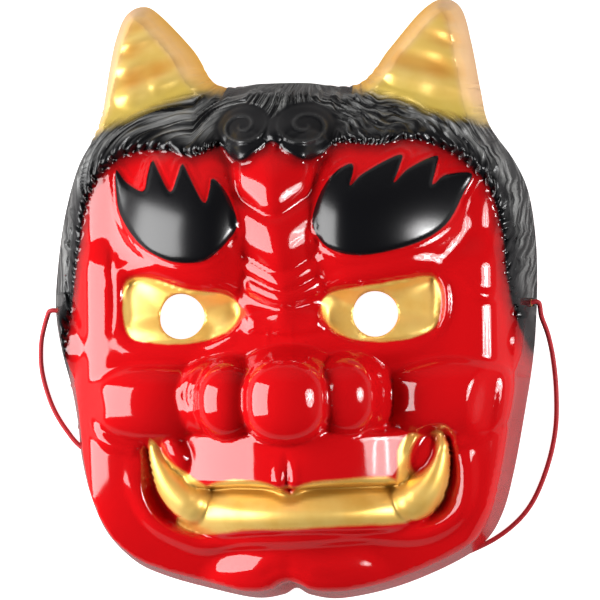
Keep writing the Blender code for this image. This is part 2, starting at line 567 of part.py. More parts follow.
def rows_inside(rim, rows, step):
    """lines of points that follow the rim, further and further in, then a triangular grid"""
    along = np.roll(rim, -1, axis=0) - np.roll(rim, 1, axis=0)
    inward = np.column_stack([-along[:, 1], along[:, 0]]) / np.hypot(*along.T)[:, None]
    kept = []
    for distance in rows:
        row = rim + inward * distance
        depth = depth_in(row[:, 0], row[:, 1], rim, 2 * distance)
        kept.append(row[depth > 0.97 * distance])
    low, high = rim.min(axis=0), rim.max(axis=0)
    across, up = np.meshgrid(np.arange(low[0], high[0], step), np.arange(low[1], high[1], step * 0.866))
    across = across + 0.5 * step * (np.arange(len(up)) % 2)[:, None]
    grid = np.column_stack([across.ravel(), up.ravel()])
    depth = depth_in(grid[:, 0], grid[:, 1], rim, 200.0)
    kept.append(grid[depth > rows[-1] + 0.6 * step])
    return np.vstack(kept)

def formed_sheet(step, rows):
    """the outer surface of the mask as a mesh of small triangles"""
    rim = even_loop(smooth_line(OUTLINE, True), step)
    points = np.vstack([rim, rows_inside(rim, rows, step)])
    edge_count = len(rim)
    flat = delaunay_2d_cdt([Vector(p) for p in points], [], [list(range(edge_count))], 1, 1e-4)
    places = np.array([tuple(p) for p in flat[0]])
    height, _ = face_height(places[:, 0], places[:, 1])
    on_rim = depth_in(places[:, 0], places[:, 1], rim, 5.0) < 0.01
    height[on_rim] = rim_height(places[on_rim, 0], places[on_rim, 1])
    middle = face_middle()
    spots = np.column_stack([places - middle, height]) * MM
    mesh = bpy.data.meshes.new("formed_sheet")
    mesh.from_pydata(spots.tolist(), [], [tuple(face) for face in flat[2]])
    mesh.validate()
    return mesh

def evaluated_mesh(thing, name):
    """a plain mesh of an object with its modifiers or bevel worked in"""
    bpy.context.view_layer.update()
    shape = thing.evaluated_get(bpy.context.evaluated_depsgraph_get())
    mesh = bpy.data.meshes.new_from_object(shape)
    mesh.name = name
    return mesh

def add_cutter(name, group, radius, length, sides, centre, direction):
    """a round punch with its middle at centre"""
    bpy.ops.mesh.primitive_cylinder_add(vertices=sides, radius=radius, depth=length)
    cutter = bpy.context.active_object
    cutter.name = name
    turn = UP.rotation_difference(direction).to_matrix().to_4x4()
    cutter.matrix_world = Matrix.Translation(centre) @ turn
    for owner in list(cutter.users_collection):
        owner.objects.unlink(cutter)
    group.objects.link(cutter)
    cutter.hide_render = True
    cutter.display_type = "WIRE"
    return cutter

def wall_point(shell, side, hole):
    """where the middle of a cord hole lies on the inner face of a side wall, and the way out of it"""
    corners = [vertex.co for vertex in shell.data.vertices]
    tree = BVHTree.FromPolygons(corners, [list(face.vertices) for face in shell.data.polygons])
    y, height = hole
    way_out = Vector((side, 0, 0))
    start = Vector((side * INSIDE_THE_HOLLOW, (y - face_middle()[1]) * MM, height * MM))
    spot = tree.ray_cast(start, way_out)[0]
    return spot, way_out

def build_shell(parts, cutters, material):
    sheet = add_object("formed_sheet", formed_sheet(MESH_STEP, RIM_ROWS), cutters)
    fewer = sheet.modifiers.new("fewer_faces", "DECIMATE")
    fewer.ratio = SHEET_TRIANGLES / len(sheet.data.polygons)
    thick = sheet.modifiers.new("sheet_thickness", "SOLIDIFY")
    thick.thickness = SHEET_THICKNESS
    thick.offset = -1.0
    thick.use_even_offset = True
    mesh = evaluated_mesh(sheet, "mask_shell")
    bpy.data.objects.remove(sheet, do_unlink=True)
    half = len(mesh.vertices) // 2
    for outer, inner in zip(mesh.vertices[:half], mesh.vertices[half:]):
        step = inner.co - outer.co
        if step.length > LONGEST_STEP:
            inner.co = outer.co + step * (LONGEST_STEP / step.length)
    for vertex in mesh.vertices:
        vertex.co.z = 0.0 if vertex.co.z < FLAT_RIM_BELOW else vertex.co.z
    mesh.shade_smooth()
    mesh.set_sharp_from_angle(angle=math.radians(40))
    shell = add_object("mask_shell", mesh, parts, material)
    middle = face_middle()
    for name, spot in (("eye_punch_left", EYE_HOLE_LEFT), ("eye_punch_right", EYE_HOLE_RIGHT)):
        centre = Vector(((spot[0] - middle[0]) * MM, (spot[1] - middle[1]) * MM, 50 * MM))
        punch = add_cutter(name, cutters, EYE_HOLE_DIAMETER / 2, EYE_PUNCH_LENGTH, EYE_HOLE_SIDES, centre, UP)
        cut = shell.modifiers.new(name, "BOOLEAN")
        cut.operation = "DIFFERENCE"
        cut.object = punch
    return shell

def punch_cord_hole(shell, cutters, name, side, hole):
    place, way_out = wall_point(shell, side, hole)
    punch = add_cutter(name, cutters, CORD_HOLE_DIAMETER / 2, PUNCH_LENGTH, 12, place, way_out)
    cut = shell.modifiers.new(name, "BOOLEAN")
    cut.operation = "DIFFERENCE"
    cut.object = punch

def build_knot(parts, material, name, shell, side, hole):
    """the end of the cord, tied in a lump too big for its hole"""
    place, way_out = wall_point(shell, side, hole)
    bpy.ops.mesh.primitive_uv_sphere_add(segments=12, ring_count=8, radius=KNOT_RADIUS)
    knot = bpy.context.active_object
    knot.name = name
    knot.scale = (KNOT_FLATTENED, 1.0, 1.0)
    bpy.ops.object.transform_apply(location=False, rotation=False, scale=True)
    knot.location = place - way_out * KNOT_STANDOFF
    for owner in list(knot.users_collection):
        owner.objects.unlink(knot)
    parts.objects.link(knot)
    knot.data.materials.append(material)
    knot.data.shade_smooth()
    return place - way_out * CORD_END

def build_cord(parts, material, start, end):
    """one round cord from hole to hole"""
    middle = face_middle()
    route = [(p[0] - middle[0], p[1] - middle[1], p[2]) for p in CORD_ROUTE]
    straight = Vector((CORD_STRAIGHT, 0, 0))
    ends = [tuple(start / MM), tuple((start - straight) / MM)]
    far = [tuple((end + straight) / MM), tuple(end / MM)]
    line = smooth_line(ends + route + far, steps=24)
    length = np.concatenate([[0.0], np.cumsum(np.sqrt((np.diff(line, axis=0) ** 2).sum(axis=1)))])
    count = round(length[-1] / CORD_POINT_STEP)
    places = np.linspace(0.0, length[-1], count + 1)
    points = np.column_stack([np.interp(places, length, line[:, i]) for i in range(3)])
    curve = bpy.data.curves.new("elastic_cord", "CURVE")
    curve.dimensions = "3D"
    curve.bevel_depth = CORD_DIAMETER / 2
    curve.bevel_resolution = 2
    curve.use_fill_caps = True
    spline = curve.splines.new("POLY")
    spline.points.add(len(points) - 1)
    for point, spot in zip(spline.points, points):
        point.co = (*(spot * MM), 1.0)
    return add_object("elastic_cord", curve, parts, material)

def build():
    clear_scene()
    parts = make_collection("oni_mask")
    cutters = make_collection("cutters")
    red = make_material("red_moulded_plastic", RED, 0.16)
    cord_red = make_material("red_elastic", CORD_RED, 0.7)
    shell = build_shell(parts, cutters, red)
    punch_cord_hole(shell, cutters, "cord_punch_left", -1, CORD_HOLE_LEFT)
    punch_cord_hole(shell, cutters, "cord_punch_right", 1, CORD_HOLE_RIGHT)
    start = build_knot(parts, cord_red, "elastic_knot_left", shell, -1, CORD_HOLE_LEFT)
    end = build_knot(parts, cord_red, "elastic_knot_right", shell, 1, CORD_HOLE_RIGHT)
    build_cord(parts, cord_red, start, end)

build()
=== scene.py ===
"""Looks of the moulded oni mask: sprayed paint on glossy red plastic, and its round elastic.

The mask lies face up on its rim, as in the CAD frame: +Z out of the face, +Y towards the horns.
"""
import math

import bpy
import numpy as np
from mathutils import Matrix, Vector
from mathutils.geometry import delaunay_2d_cdt


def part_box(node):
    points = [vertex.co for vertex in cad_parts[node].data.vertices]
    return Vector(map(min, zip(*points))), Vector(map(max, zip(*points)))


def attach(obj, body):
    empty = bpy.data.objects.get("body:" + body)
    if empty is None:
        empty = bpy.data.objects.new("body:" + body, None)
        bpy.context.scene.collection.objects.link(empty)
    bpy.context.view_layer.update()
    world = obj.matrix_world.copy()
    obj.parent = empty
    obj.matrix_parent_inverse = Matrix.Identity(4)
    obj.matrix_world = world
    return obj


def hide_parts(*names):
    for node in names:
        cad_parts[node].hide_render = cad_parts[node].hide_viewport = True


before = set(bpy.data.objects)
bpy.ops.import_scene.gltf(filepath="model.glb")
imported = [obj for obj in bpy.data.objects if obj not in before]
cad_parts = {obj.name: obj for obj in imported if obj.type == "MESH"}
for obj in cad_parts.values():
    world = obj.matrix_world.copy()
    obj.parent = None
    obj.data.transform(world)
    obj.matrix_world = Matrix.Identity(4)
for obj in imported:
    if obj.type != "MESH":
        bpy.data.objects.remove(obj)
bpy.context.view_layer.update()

MM = 0.001
MESH_STEP = 1.15
HAIR_MESH_STEP = 0.78
RIM_ROWS = (0.15, 0.4, 0.8, 1.3, 1.9, 2.6, 3.4, 4.3, 5.3, 6.4)
SHEET_THICKNESS = 0.6 * MM
EYE_HOLE_RADIUS = 8.8
EYE_HOLE_SIDES = 96

CORD_DIAMETER = 2.0 * MM
CORD_STRAIGHT = 4 * MM
CORD_GAP = 0.3 * MM
CORD_HOLE_RADIUS = 1.4 * MM
CORD_HOLE_LENGTH = 8 * MM
# Each knot: three crossings, pulled tight, with a short free end.
KNOT_THREAD_RADIUS = 0.9 * MM
KNOT_SCALE = 0.55 * MM
KNOT_POINTS = 60
KNOT_TAIL = [(0.0, 0.0, 0.0), (1.6, 0.4, -0.2), (3.2, -0.2, -1.0), (4.8, -1.2, -1.4)]

# Streaks in the hair: how many to a millimetre across, how many times longer than wide.
STREAKS_PER_MM = 0.34
STREAK_LENGTH = 4.5
# Fine relief, in millimetres.
HAIR_STREAK_RELIEF = 0.9
PAINT_GRAIN_RELIEF = 0.020
PEEL_RELIEF = 0.010
FIBRE_RELIEF = 0.12

RED_PLASTIC = (0.55, 0.004, 0.006, 1.0)
RED_PLASTIC_DEEP = (0.50, 0.004, 0.006, 1.0)
BLACK_PAINT = (0.004, 0.004, 0.005, 1.0)
# Grey painted sheen on the black hair: a painted highlight in streaks, where the hair would catch the light.
BLACK_PAINTED_SHEEN = (0.22, 0.22, 0.215, 1.0)
GOLD_PAINT = (1.0, 0.66, 0.18, 1.0)
GOLD_PAINT_DEEP = (0.92, 0.54, 0.11, 1.0)
# Gold with painted shade, for the top of the teeth under the upper lip.
GOLD_PAINTED_SHADE = (0.46, 0.23, 0.03, 1.0)
HORN_PLATE = (0.92, 0.60, 0.14, 1.0)
HORN_PLATE_PALE = (0.98, 0.68, 0.20, 1.0)
HORN_EDGE = (0.98, 0.60, 0.32, 1.0)
# Orange with painted shade, for the grooves between the rings of the horns.
HORN_PAINTED_SHADE = (0.74, 0.32, 0.05, 1.0)
HORN_FOOT = (0.66, 0.50, 0.08, 1.0)
HORN_INSIDE = (0.98, 0.50, 0.03, 1.0)
THREAD_RED = (0.52, 0.010, 0.018, 1.0)
THREAD_RED_DEEP = (0.30, 0.004, 0.010, 1.0)

# Floor: its colour, the same as gloss sees it, then the light it gives to gloss and to the walls.
FLOOR_SIZE = 6.0
FLOOR_COLOUR = (0.6, 0.6, 0.6, 1.0)
FLOOR_REFLECTED = (0.10, 0.09, 0.09, 1.0)
FLOOR_GLOW = 0.16
FLOOR_BOUNCE = 1.3
# Softbox and umbrella: azimuth, elevation, distance, then sizes in metres and powers in watts.
SOFTBOX_PLACE = (-62, 2, 0.9)
SOFTBOX = ((0.86, 0.80), 20)
UMBRELLA_PLACE = (61, 2, 0.9)
UMBRELLA = ((0.42, 0.42), 4.2)
UMBRELLA_MIDDLE = ((0.12, 0.12), 1.8)
UMBRELLA_RIB = ((0.36, 0.018), 0.5)
MIDDLE_DISTANCE = 0.895
RIB_DISTANCE = 0.897

# The face is drawn in millimetres as seen from the front: x to the right, y up to the horns,
# heights over the floor that the rim lies on. Each list below is one kind of carving.

# Rim of the sheet, anticlockwise from the notch in the chin, then both jaws, ears and horns.
OUTLINE = [
    (-2.4, -117.5), (-8, -120.2), (-20, -121.4), (-41, -116.6), (-57, -111.6), (-68.5, -105.8),
    (-79.5, -94.5), (-86, -80), (-89.8, -64), (-91.3, -49), (-93.6, -35), (-97.6, -19), (-99.8, -3),
    (-98.7, 15), (-95.6, 36.7), (-90, 56.5), (-81.6, 71.3), (-78.6, 84.5), (-76.8, 95),
    (-74, 107.5), (-69.6, 117.6), (-62.8, 121.2), (-56, 118), (-42, 103), (-31.4, 88),
    (-14, 88.6), (4, 88.6), (26, 87.2), (38, 101.2), (51.5, 116.6), (60.5, 121.6), (68, 117.4),
    (72, 103), (75.4, 84), (78.6, 70), (88.4, 55.5), (94.2, 42), (96.9, 22), (97, 0), (95.2, -24),
    (91, -49), (86.6, -71), (82, -87), (75, -98.4), (62, -107.3), (39, -117), (16.5, -121.8), (3.6, -120.4),
]
# Lower edge of the hair on the skin, from the left ear over the forehead to the right ear.
HAIRLINE = [
    (-94, -30), (-90.2, -22), (-88.8, -5), (-85.4, 14), (-81.6, 37), (-74, 52), (-61.6, 59.6), (-47, 59.6),
    (-38, 57), (-33, 58.2), (-26, 61), (-20.4, 55.6), (-15.6, 54.8), (-10, 58.6), (-4.6, 61.6), (1.6, 57.4),
    (8, 54.6), (14, 56.6), (20, 61.4), (36, 60.4), (45, 62.4), (53, 62), (61, 59), (69, 54), (79, 43),
    (84, 25), (85, 11), (88.4, -6), (91.6, -15), (96, -24),
]
EYE_LEFT = [
    (-63.6, 8), (-53, 9), (-38, 4.4), (-24, 2.4), (-18.4, -4), (-23, -11.4), (-36, -16),
    (-53, -16), (-62.6, -13), (-64.8, -4),
]
EYE_RIGHT = [
    (13.4, -3), (18, 2.8), (35.4, 5.6), (54, 8.4), (58.4, 6.4), (59.6, -1), (57.4, -10.6),
    (48, -15.2), (32, -16.4), (19, -12.4),
]
# Flame-topped brows: the points of the flames and the notches between them, then round below.
BROW_LEFT = [
    (-68.2, 52.4), (-63.6, 47.2), (-56, 43.4), (-54.6, 50), (-53, 55.8), (-49.6, 50.6), (-44.4, 42.6),
    (-42, 48.6), (-40.2, 53.8), (-36.8, 48.4), (-30.8, 38), (-28.8, 43), (-28, 47.8), (-23, 43),
    (-18.8, 34),
    (-18.8, 27), (-28, 17), (-36, 14.8), (-46, 16.2), (-57, 22.6), (-65.6, 34), (-68, 44),
]
BROW_RIGHT = [
    (22.6, 51.4), (26.6, 52.4), (26.8, 48.6), (25.8, 43.8), (31, 48.8), (44.8, 56.2), (44.4, 50.6),
    (42.6, 44.6),
    (48, 50.4), (58.6, 55.8), (58.6, 51), (57.2, 43.8), (62, 48), (72.2, 48.6), (69, 40.8), (62, 28.2),
    (49, 20.6), (30, 16.8), (17, 20), (11, 29), (13, 39), (17.6, 47),
]
TEETH = [
    (-31.6, -72.6), (-19, -69.6), (-7, -71), (0.4, -75.6), (7.4, -71.2), (23, -69.6), (41, -70.6),
    (46.6, -85.8),
    (25, -86.8), (-1, -88), (-16, -88.4), (-35, -91), (-45.6, -87.4), (-40, -82),
]
MOUTH = [
    (-57, -56), (-46, -66), (-36, -72.6), (-20, -70.6), (-9, -71), (0.4, -75.8), (9, -71), (26, -70.2),
    (41, -70.6),
    (46, -60), (52, -50.6), (62, -49.6), (65, -62), (64.6, -74), (59, -85), (46, -89), (12, -88.6),
    (-16, -89.8),
    (-36, -92.6), (-49, -88.6), (-57, -78), (-58.6, -66),
]
EYE_HOLE_LEFT = (-41.4, -5.8)
EYE_HOLE_RIGHT = (34.3, -5.8)

# The plain dome: its height, how far it falls to the sides, the chin and the hair, and under the brows.
FACE_HEIGHT = 50.0
FALL_TO_SIDES = 26.0
FALL_TO_CHIN = 28.0
FALL_TO_HAIR = 26.0
FALL_OF_FOREHEAD = 5.0
LEAST_HEIGHT = 8.0

# The shoulder all round: its height, its width on the face and on each side of a horn.
SHOULDER_HEIGHT = 44.0
SHOULDER_WIDTH = 12.0
HORN_INNER_WIDTH = 6.5
HORN_OUTER_WIDTH = 3.5
FULL_LEFT_JAW = 0.09
RIM_LIFT = 3.2
HORN_HEIGHT = 31.0
HORN_SLOPE = 0.30

SOCKET_DEPTH = 3.0
SOCKET_EDGE = 2.5
SOCKET_REACH = 6.0
EYE_RECESS = 2.0
EYE_BULGE = 4.6
EYE_DOMES = [(-44.0, -4.0, 24.0, 16.0), (39.5, -4.0, 24.0, 16.0)]
BROW_RISE = 2.0
BROW_SHOULDER = 2.2
BROW_BEAD = 0.45
MOUTH_DEPTH = 5.0
MOUTH_SLOPE = 4.0

# Hair: how far it stands out, then its locks, their rolled ends, strands, tufts and curls.
HAIR_RISE = 3.0
LOCK_PITCH = 7.0
LOCK_HEIGHT = 0.8
LOCK_SWEEP = 3.2
LOCK_WAVE = 1.1
LOCK_END_PITCH = 4.4
LOCK_END_RELIEF = 1.15
LOCK_NOTCH = 2.2
LOCK_ROLL = 4.6
STRAND_PITCH = 4.6
STRAND_HEIGHT = 0.22
TUFT_PITCH = 10.0
TUFT_HEIGHT = 0.4
CURL_RISE = 1.8
CURL_LINE = 1.3
LOBE_RISE = 1.6

# Broad rises: centre x, y, then half widths to the left, right, chin and horns, foot, peak, blend.
BONES = [
    (-31, 24.5, 42, 29, 38, 44, 39, 64.0, 5.0),
    (25.5, 25, 29, 50, 38, 44, 39, 64.0, 2.6),
    (-1, -16, 58, 58, 40, 34, 38, 57.5, 3.0),
    (1, -56, 46, 46, 60, 34, 34, 60.0, 4.0),
]
POUCHES = [
    (-45, -18, 36, 30, 12, 15, 44, 53.0, 2.0),
    (40, -18, 30, 36, 12, 15, 44, 53.0, 2.0),
]
# Round swellings, in the order they are blended in: centre x, y, half width, half length,
# foot, peak, turn in degrees, squareness across and along, blend.
CHEEKS = [
    (-50, -39.5, 33.6, 19.5, 33, 59.0, 0, 2.2, 2.6, 2.4),
    (60, -38.5, 28.4, 19.5, 34, 59.0, 2, 2.1, 2.6, 2.4),
]
NOSE = [
    (-22.5, -38, 22.5, 17.0, 49, 64.5, 0, 2.6, 2.4, 2.4),
    (21, -38, 19.5, 17.0, 49, 64.0, 0, 2.6, 2.4, 2.4),
    (0.5, -38.5, 30.0, 16.0, 55, 72.0, 0, 2.6, 2.4, 2.0),
    (-22.0, -38.5, 14.0, 15.5, 59.5, 74.0, 0, 2.0, 2.2, 2.6),
    (22.5, -37.5, 13.5, 15.5, 59.5, 74.0, 0, 2.0, 2.2, 2.6),
    (0.6, -38.5, 17.0, 17.0, 68.5, 83.5, 0, 2.1, 2.4, 2.2),
]
# Broad bars bent round the face: middle x, y, radius to the left and right, half length,
# squareness along, height, fall to the ends, blend.
UPPER_LIP = (1.5, -61.5, 48.0, 56.0, 11.5, 14.0, 69.0, 10.0, 1.6)
TEETH_BAR = (3.0, -83.0, 56.0, 64.0, 8.0, 2.2, 61.5, 6.0, 1.2)
CHIN = (0.5, -105.5, 50.0, 56.0, 12.0, 2.0, 46.0, 6.5, 3.0)
LIP_FOLDS = [
    (-43.6, -59.5, 6.4, 11.5, 42, 55.0, 34, 2.0, 2.0, 2.0),
    (51.0, -60.5, 9.2, 12.5, 42, 54.5, -20, 2.4, 2.0, 2.2),
]
# Ridges and grooves: each is a line of x, y, half width, height, a groove with minus heights.
LIDS = [
    [(-70, 8, 3, 0.3), (-64, 13, 4, 0.9), (-52, 14, 5, 1.0), (-40, 11, 5, 1.0), (-28, 7.4, 4.5, 0.8),
     (-18, 4, 4, 0.3)],
    [(-67, -16, 3, 0.4), (-58, -20.4, 3.6, 1.2), (-46, -21.2, 3.8, 1.4), (-34, -20, 3.8, 1.2),
     (-22, -15, 3.6, 0.6)],
    [(66, 10, 3, 0.3), (58, 13, 4.4, 0.9), (46, 12.2, 5, 1.0), (32, 9.4, 5, 1.0), (20, 7, 4.5, 0.8),
     (12, 3, 4, 0.3)],
    [(57, 10.4, 1.4, 0.4), (61, 6, 1.8, 1.5), (62.2, -2, 2.0, 1.8), (60.4, -10, 2.0, 1.5),
     (55, -16.4, 2.6, 1.3),
     (43, -20.0, 3.6, 1.4), (28, -19.6, 3.8, 1.2), (17, -14, 3.4, 0.4)],
]
BROW_FOLDS = [
    [(12.6, 32, 1.6, 0.2), (11.2, 24, 2.6, 1.2), (10.4, 14, 1.6, 0.2)],
    [(-19, 34, 1.4, 0.2), (-17.6, 26, 1.8, 0.8), (-17.4, 18, 1.4, 0.2)],
]
NOSE_LINES = [
    [(-7.6, -9, 1.2, 0.1), (-7.4, -14, 1.4, 0.35), (-7.6, -19, 1.2, 0.1)],
    [(2.2, -9, 1.2, 0.1), (2.2, -14, 1.4, 0.35), (2.4, -19, 1.2, 0.1)],
]
# Roof-shaped bridge between the brows: its crest at the shield and by the eyes, then its form.
BRIDGE_TOP = (-4.6, 44.0)
BRIDGE_FOOT = (-0.6, -2.0)
BRIDGE_MIDDLE = 33.0
BRIDGE_HEIGHT = 63.0
BRIDGE_FALL_DOWN = 0.0030
BRIDGE_FALL_UP = 0.0105
BRIDGE_SLOPE = 0.60
BRIDGE_CREST = 3.4
BRIDGE_HALF_WIDTH = 9.0
# V-shaped folds across it: place on the crest, reach down and up, height, slant of the V.
PLEATS = [
    (43.0, 11.0, 15.0, 3.0, 0.80),
    (22.5, 12.0, 9.5, 2.8, 0.70),
    (6.0, 3.0, 4.0, 1.3, 0.65),
    (0.2, 4.0, 3.0, 1.8, 0.50),
    (-9.5, 5.0, 6.0, 2.4, 0.15),
]
WING_FOLDS = [
    [(-39, -28, 1.6, 0.3), (-41.6, -36, 1.8, 1.0), (-39.6, -44, 1.6, 0.3)],
    [(-36, -29, 1.4, 0.3), (-37.8, -36, 1.6, 0.9), (-36.4, -43, 1.4, 0.3)],
    [(37, -30, 1.4, 0.3), (38.6, -36, 1.6, 0.9), (37.6, -43, 1.4, 0.3)],
]
PHILTRUM = [
    [(0.2, -59, 1.4, -0.3), (0.3, -66, 1.6, -1.3), (0.4, -74, 1.6, -2.0)],
    [(-3.4, -62, 2.0, 0.2), (-3.2, -68, 2.4, 0.7), (-2.4, -73, 2.0, 0.9)],
    [(4.0, -62, 2.0, 0.2), (3.8, -68, 2.4, 0.7), (3.0, -73, 2.0, 0.9)],
]
TEETH_GROOVE = [
    [(-33, -76.6, 3.0, -0.4), (-21, -77.8, 4.0, -1.0), (-8, -78.6, 4.0, -1.0), (5, -79, 4.0, -1.0),
     (26, -78.6, 4.0, -1.0), (38, -76.6, 3.0, -0.4)],
]
LOWER_LIP = [
    [(-63, -62, 3.4, 0.2), (-61.6, -74, 4.6, 1.1), (-55, -86.4, 5.2, 2.6), (-44, -93.4, 5.2, 3.0),
     (-34, -96.2, 5.2, 3.0), (-18, -93.8, 5.2, 2.8), (2, -92.8, 5.2, 2.8), (26, -92, 5.2, 2.8),
     (46, -93.2, 5.2, 2.8), (58, -90, 5.2, 2.6), (67, -82, 5.0, 2.4), (69.6, -70, 4.8, 1.8),
     (67.6, -57, 4, 0.9),
     (62, -50, 3, 0.3)],
]
CHEEK_FOLDS = [
    [(60, -57.5, 3, 0.6), (70, -54.6, 4, 2.2), (82, -48, 3.4, 1.4), (88, -42, 3, 0.4)],
    [(-80, -46, 3, 0.5), (-72, -54.6, 4, 1.6), (-62, -58, 3.6, 1.6)],
]
CHIN_CLEFT = [[(-2.4, -122, 5, -4.0), (-2.2, -112, 4.4, -2.6), (-1.5, -102, 4, -0.4)]]
TEMPLES = [
    [(-70, 22, 1.6, -0.2), (-69.4, 12, 1.8, -0.9), (-69, -2, 1.8, -0.9), (-70, -12, 1.6, -0.2)],
    [(67, 8, 2.6, 0.3), (75, 1, 3.4, 1.2), (84, 1.6, 2.6, 0.3)],
]
# Tusks, half round: x, y, half width, foot, height over the foot, from the tip to the root.
TUSKS = [
    [(-54.8, -53, 0.9, 47, 2.0), (-53.4, -58.6, 2.5, 46.5, 4.0), (-50.6, -65.4, 4.6, 45, 7.0),
     (-46.6, -72.2, 6.8, 43.5, 9.5), (-41.4, -77.6, 8.2, 42.5, 11.0), (-38.6, -79.6, 8.2, 42, 11.0)],
    [(59.6, -51.6, 1.1, 47, 2.0), (59.2, -58, 3.0, 46.5, 4.4), (57.4, -65.6, 5.0, 45, 7.4),
     (54.0, -72.6, 7.0, 43.5, 9.8), (49.6, -77.4, 8.4, 42.5, 11.2), (46.6, -79.4, 8.4, 42, 11.2)],
]
# The three swellings across each horn.
HORN_RINGS = [
    [(-70, 80.4, 4, 0.2), (-64, 82.4, 6.5, 3.0), (-57, 85.2, 6, 2.2), (-52.4, 86.8, 5.5, 2.9),
     (-42, 91, 3, 0.2)],
    [(-70, 92.2, 4, 0.2), (-65, 94.0, 5, 2.2), (-58, 97.0, 4.4, 1.0), (-50, 100, 3, 0.1)],
    [(-68.6, 102.2, 3.6, 0.2), (-64.4, 103.4, 4.2, 1.9), (-60, 105.0, 3.6, 1.6), (-55, 107, 3, 0.1)],
    [(37, 89.6, 3, 0.2), (42, 89.0, 5.5, 2.4), (52, 86.6, 6, 2.2), (60, 84.4, 6.5, 2.9), (69, 81.6, 4, 0.4)],
    [(46, 100, 3, 0.1), (54, 99.2, 4.6, 1.0), (62, 96.6, 5, 2.2), (68.6, 94, 4, 0.3)],
    [(54, 108, 3, 0.1), (59, 107.2, 4, 1.0), (64.4, 105.2, 4.4, 2.0), (69, 103, 4, 0.2)],
]
# Painted shade on the horns: a darker orange band this far above each ring's crest, in the groove between
# rings.
RING_SHADE_OVER = 6.5
# Middle of the band of painted shade along the top of the teeth, under the upper lip.
BITE_LINE = [(-30, -74.6), (-19, -74.0), (-7, -75.0), (0.4, -77.4), (8, -75.2), (24, -73.6), (39, -74.0)]
BITE_OVER = 0.6
# Where the gold of each horn meets the hair, x and y.
HORN_FOOT_LEFT = [(-78, 69), (-68, 73), (-58, 77), (-49, 81), (-40, 83.4), (-28, 85)]
HORN_FOOT_RIGHT = [(24, 85), (38, 82), (47, 79), (56, 75), (65, 72.4), (78, 71)]
# Gold of the tusks, sprayed a little past them, and the spot on the right one that it missed.
TUSK_PAINT = [
    [(-54.4, -53.6), (-55.4, -59), (-54.8, -66), (-53.6, -71.6), (-51.4, -76.4), (-47.6, -81), (-42.4, -84.4),
     (-38.6, -85), (-34, -83.4), (-30.8, -80), (-30.8, -76), (-32.8, -72), (-36, -69.8), (-41, -67),
     (-45.4, -64), (-49, -60.6), (-52, -57)],
    [(59, -52), (61.4, -57), (62, -64), (61.4, -72), (59.4, -78), (56.2, -82.4), (52, -85.4), (47, -86),
     (43, -84), (40.6, -80), (40.4, -74), (42.4, -68), (42.6, -60), (45, -54.4), (48.6, -52.4), (53.4, -54),
     (56.4, -52)],
]
MISSED_SPOT = (52.0, -60.0, 5.2, 9.4, -24.0)
# Curls over the forehead: centre x, y, half width, half length, hand of the spiral.
CURLS = [(-17.0, 68.4, 10.0, 8.0, 1), (7.6, 68.2, 11.0, 8.4, -1)]
CURL_LOBES = [(-16.0, 59.8, 8.6, 6.4), (8.0, 59.8, 9.6, 6.6), (-3.2, 66, 3.4, 6.0)]


def smooth_step(value):
    """0 to 1 with soft ends"""
    value = np.clip(value, 0.0, 1.0)
    return value * value * (3.0 - 2.0 * value)


def blend_over(low, high, soft):
    """the higher of two heights, with a soft join"""
    share = np.clip(0.5 + 0.5 * (low - high) / soft, 0.0, 1.0)
    return high + (low - high) * share + soft * share * (1.0 - share)


def blend_under(first, second, soft):
    """the lower of two heights, with a soft join"""
    return -blend_over(-first, -second, soft)


def smooth_line(points, closed=False, steps=5):
    """a smooth line through given points, with as many columns as they have"""
    p = np.array(points, dtype=float)
    if closed:
        p = np.vstack([p[-1:], p, p[:2]])
    else:
        p = np.vstack([2 * p[0] - p[1], p, 2 * p[-1] - p[-2]])
    t = np.arange(steps)[:, None] / steps
    line = []
    for a, b, c, d in zip(p, p[1:], p[2:], p[3:]):
        line.append(0.5 * (2 * b + (c - a) * t + (2 * a - 5 * b + 4 * c - d) * t ** 2
                           + (3 * b - a - 3 * c + d) * t ** 3))
    line = np.vstack(line)
    return line if closed else np.vstack([line, p[-2:-1]])


def nearest(x, y, line, reach):
    """distance to a line, no more than reach, and the line's columns at the nearest place"""
    distance = np.full(x.shape, float(reach))
    columns = np.zeros((len(x), line.shape[1]))
    low = line[:, :2].min(axis=0) - reach
    high = line[:, :2].max(axis=0) + reach
    box = (x > low[0]) & (x < high[0]) & (y > low[1]) & (y < high[1])
    px, py = x[box], y[box]
    best, found = distance[box], columns[box]
    for a, b in zip(line[:-1], line[1:]):
        dx, dy = b[0] - a[0], b[1] - a[1]
        share = np.clip(((px - a[0]) * dx + (py - a[1]) * dy) / (dx * dx + dy * dy + 1e-12), 0, 1)
        away = np.hypot(px - a[0] - share * dx, py - a[1] - share * dy)
        closer = away < best
        best[closer] = away[closer]
        found[closer] = a + (b - a) * share[closer][:, None]
    distance[box] = best
    columns[box] = found
    return distance, columns


def inside(x, y, loop):
    """which points lie in a closed loop"""
    odd = np.zeros(x.shape, dtype=bool)
    for a, b in zip(loop, np.roll(loop, -1, axis=0)):
        if a[1] == b[1]:
            continue
        crosses = (a[1] > y) != (b[1] > y)
        odd ^= crosses & (x < (b[0] - a[0]) * (y - a[1]) / (b[1] - a[1]) + a[0])
    return odd


def depth_in(x, y, loop, reach=40.0):
    """distance to the edge of a loop: plus inside, minus outside, no more than reach"""
    ring = np.vstack([loop, loop[:1]])
    distance, _ = nearest(x, y, ring, reach)
    return np.where(inside(x, y, loop), distance, -distance)


def along_axes(x, y, centre_x, centre_y, half_x, half_y, turn):
    """place in an ellipse's own axes, 1 at its rim"""
    c, s = math.cos(math.radians(turn)), math.sin(math.radians(turn))
    across = ((x - centre_x) * c + (y - centre_y) * s) / half_x
    along = (-(x - centre_x) * s + (y - centre_y) * c) / half_y
    return across, along


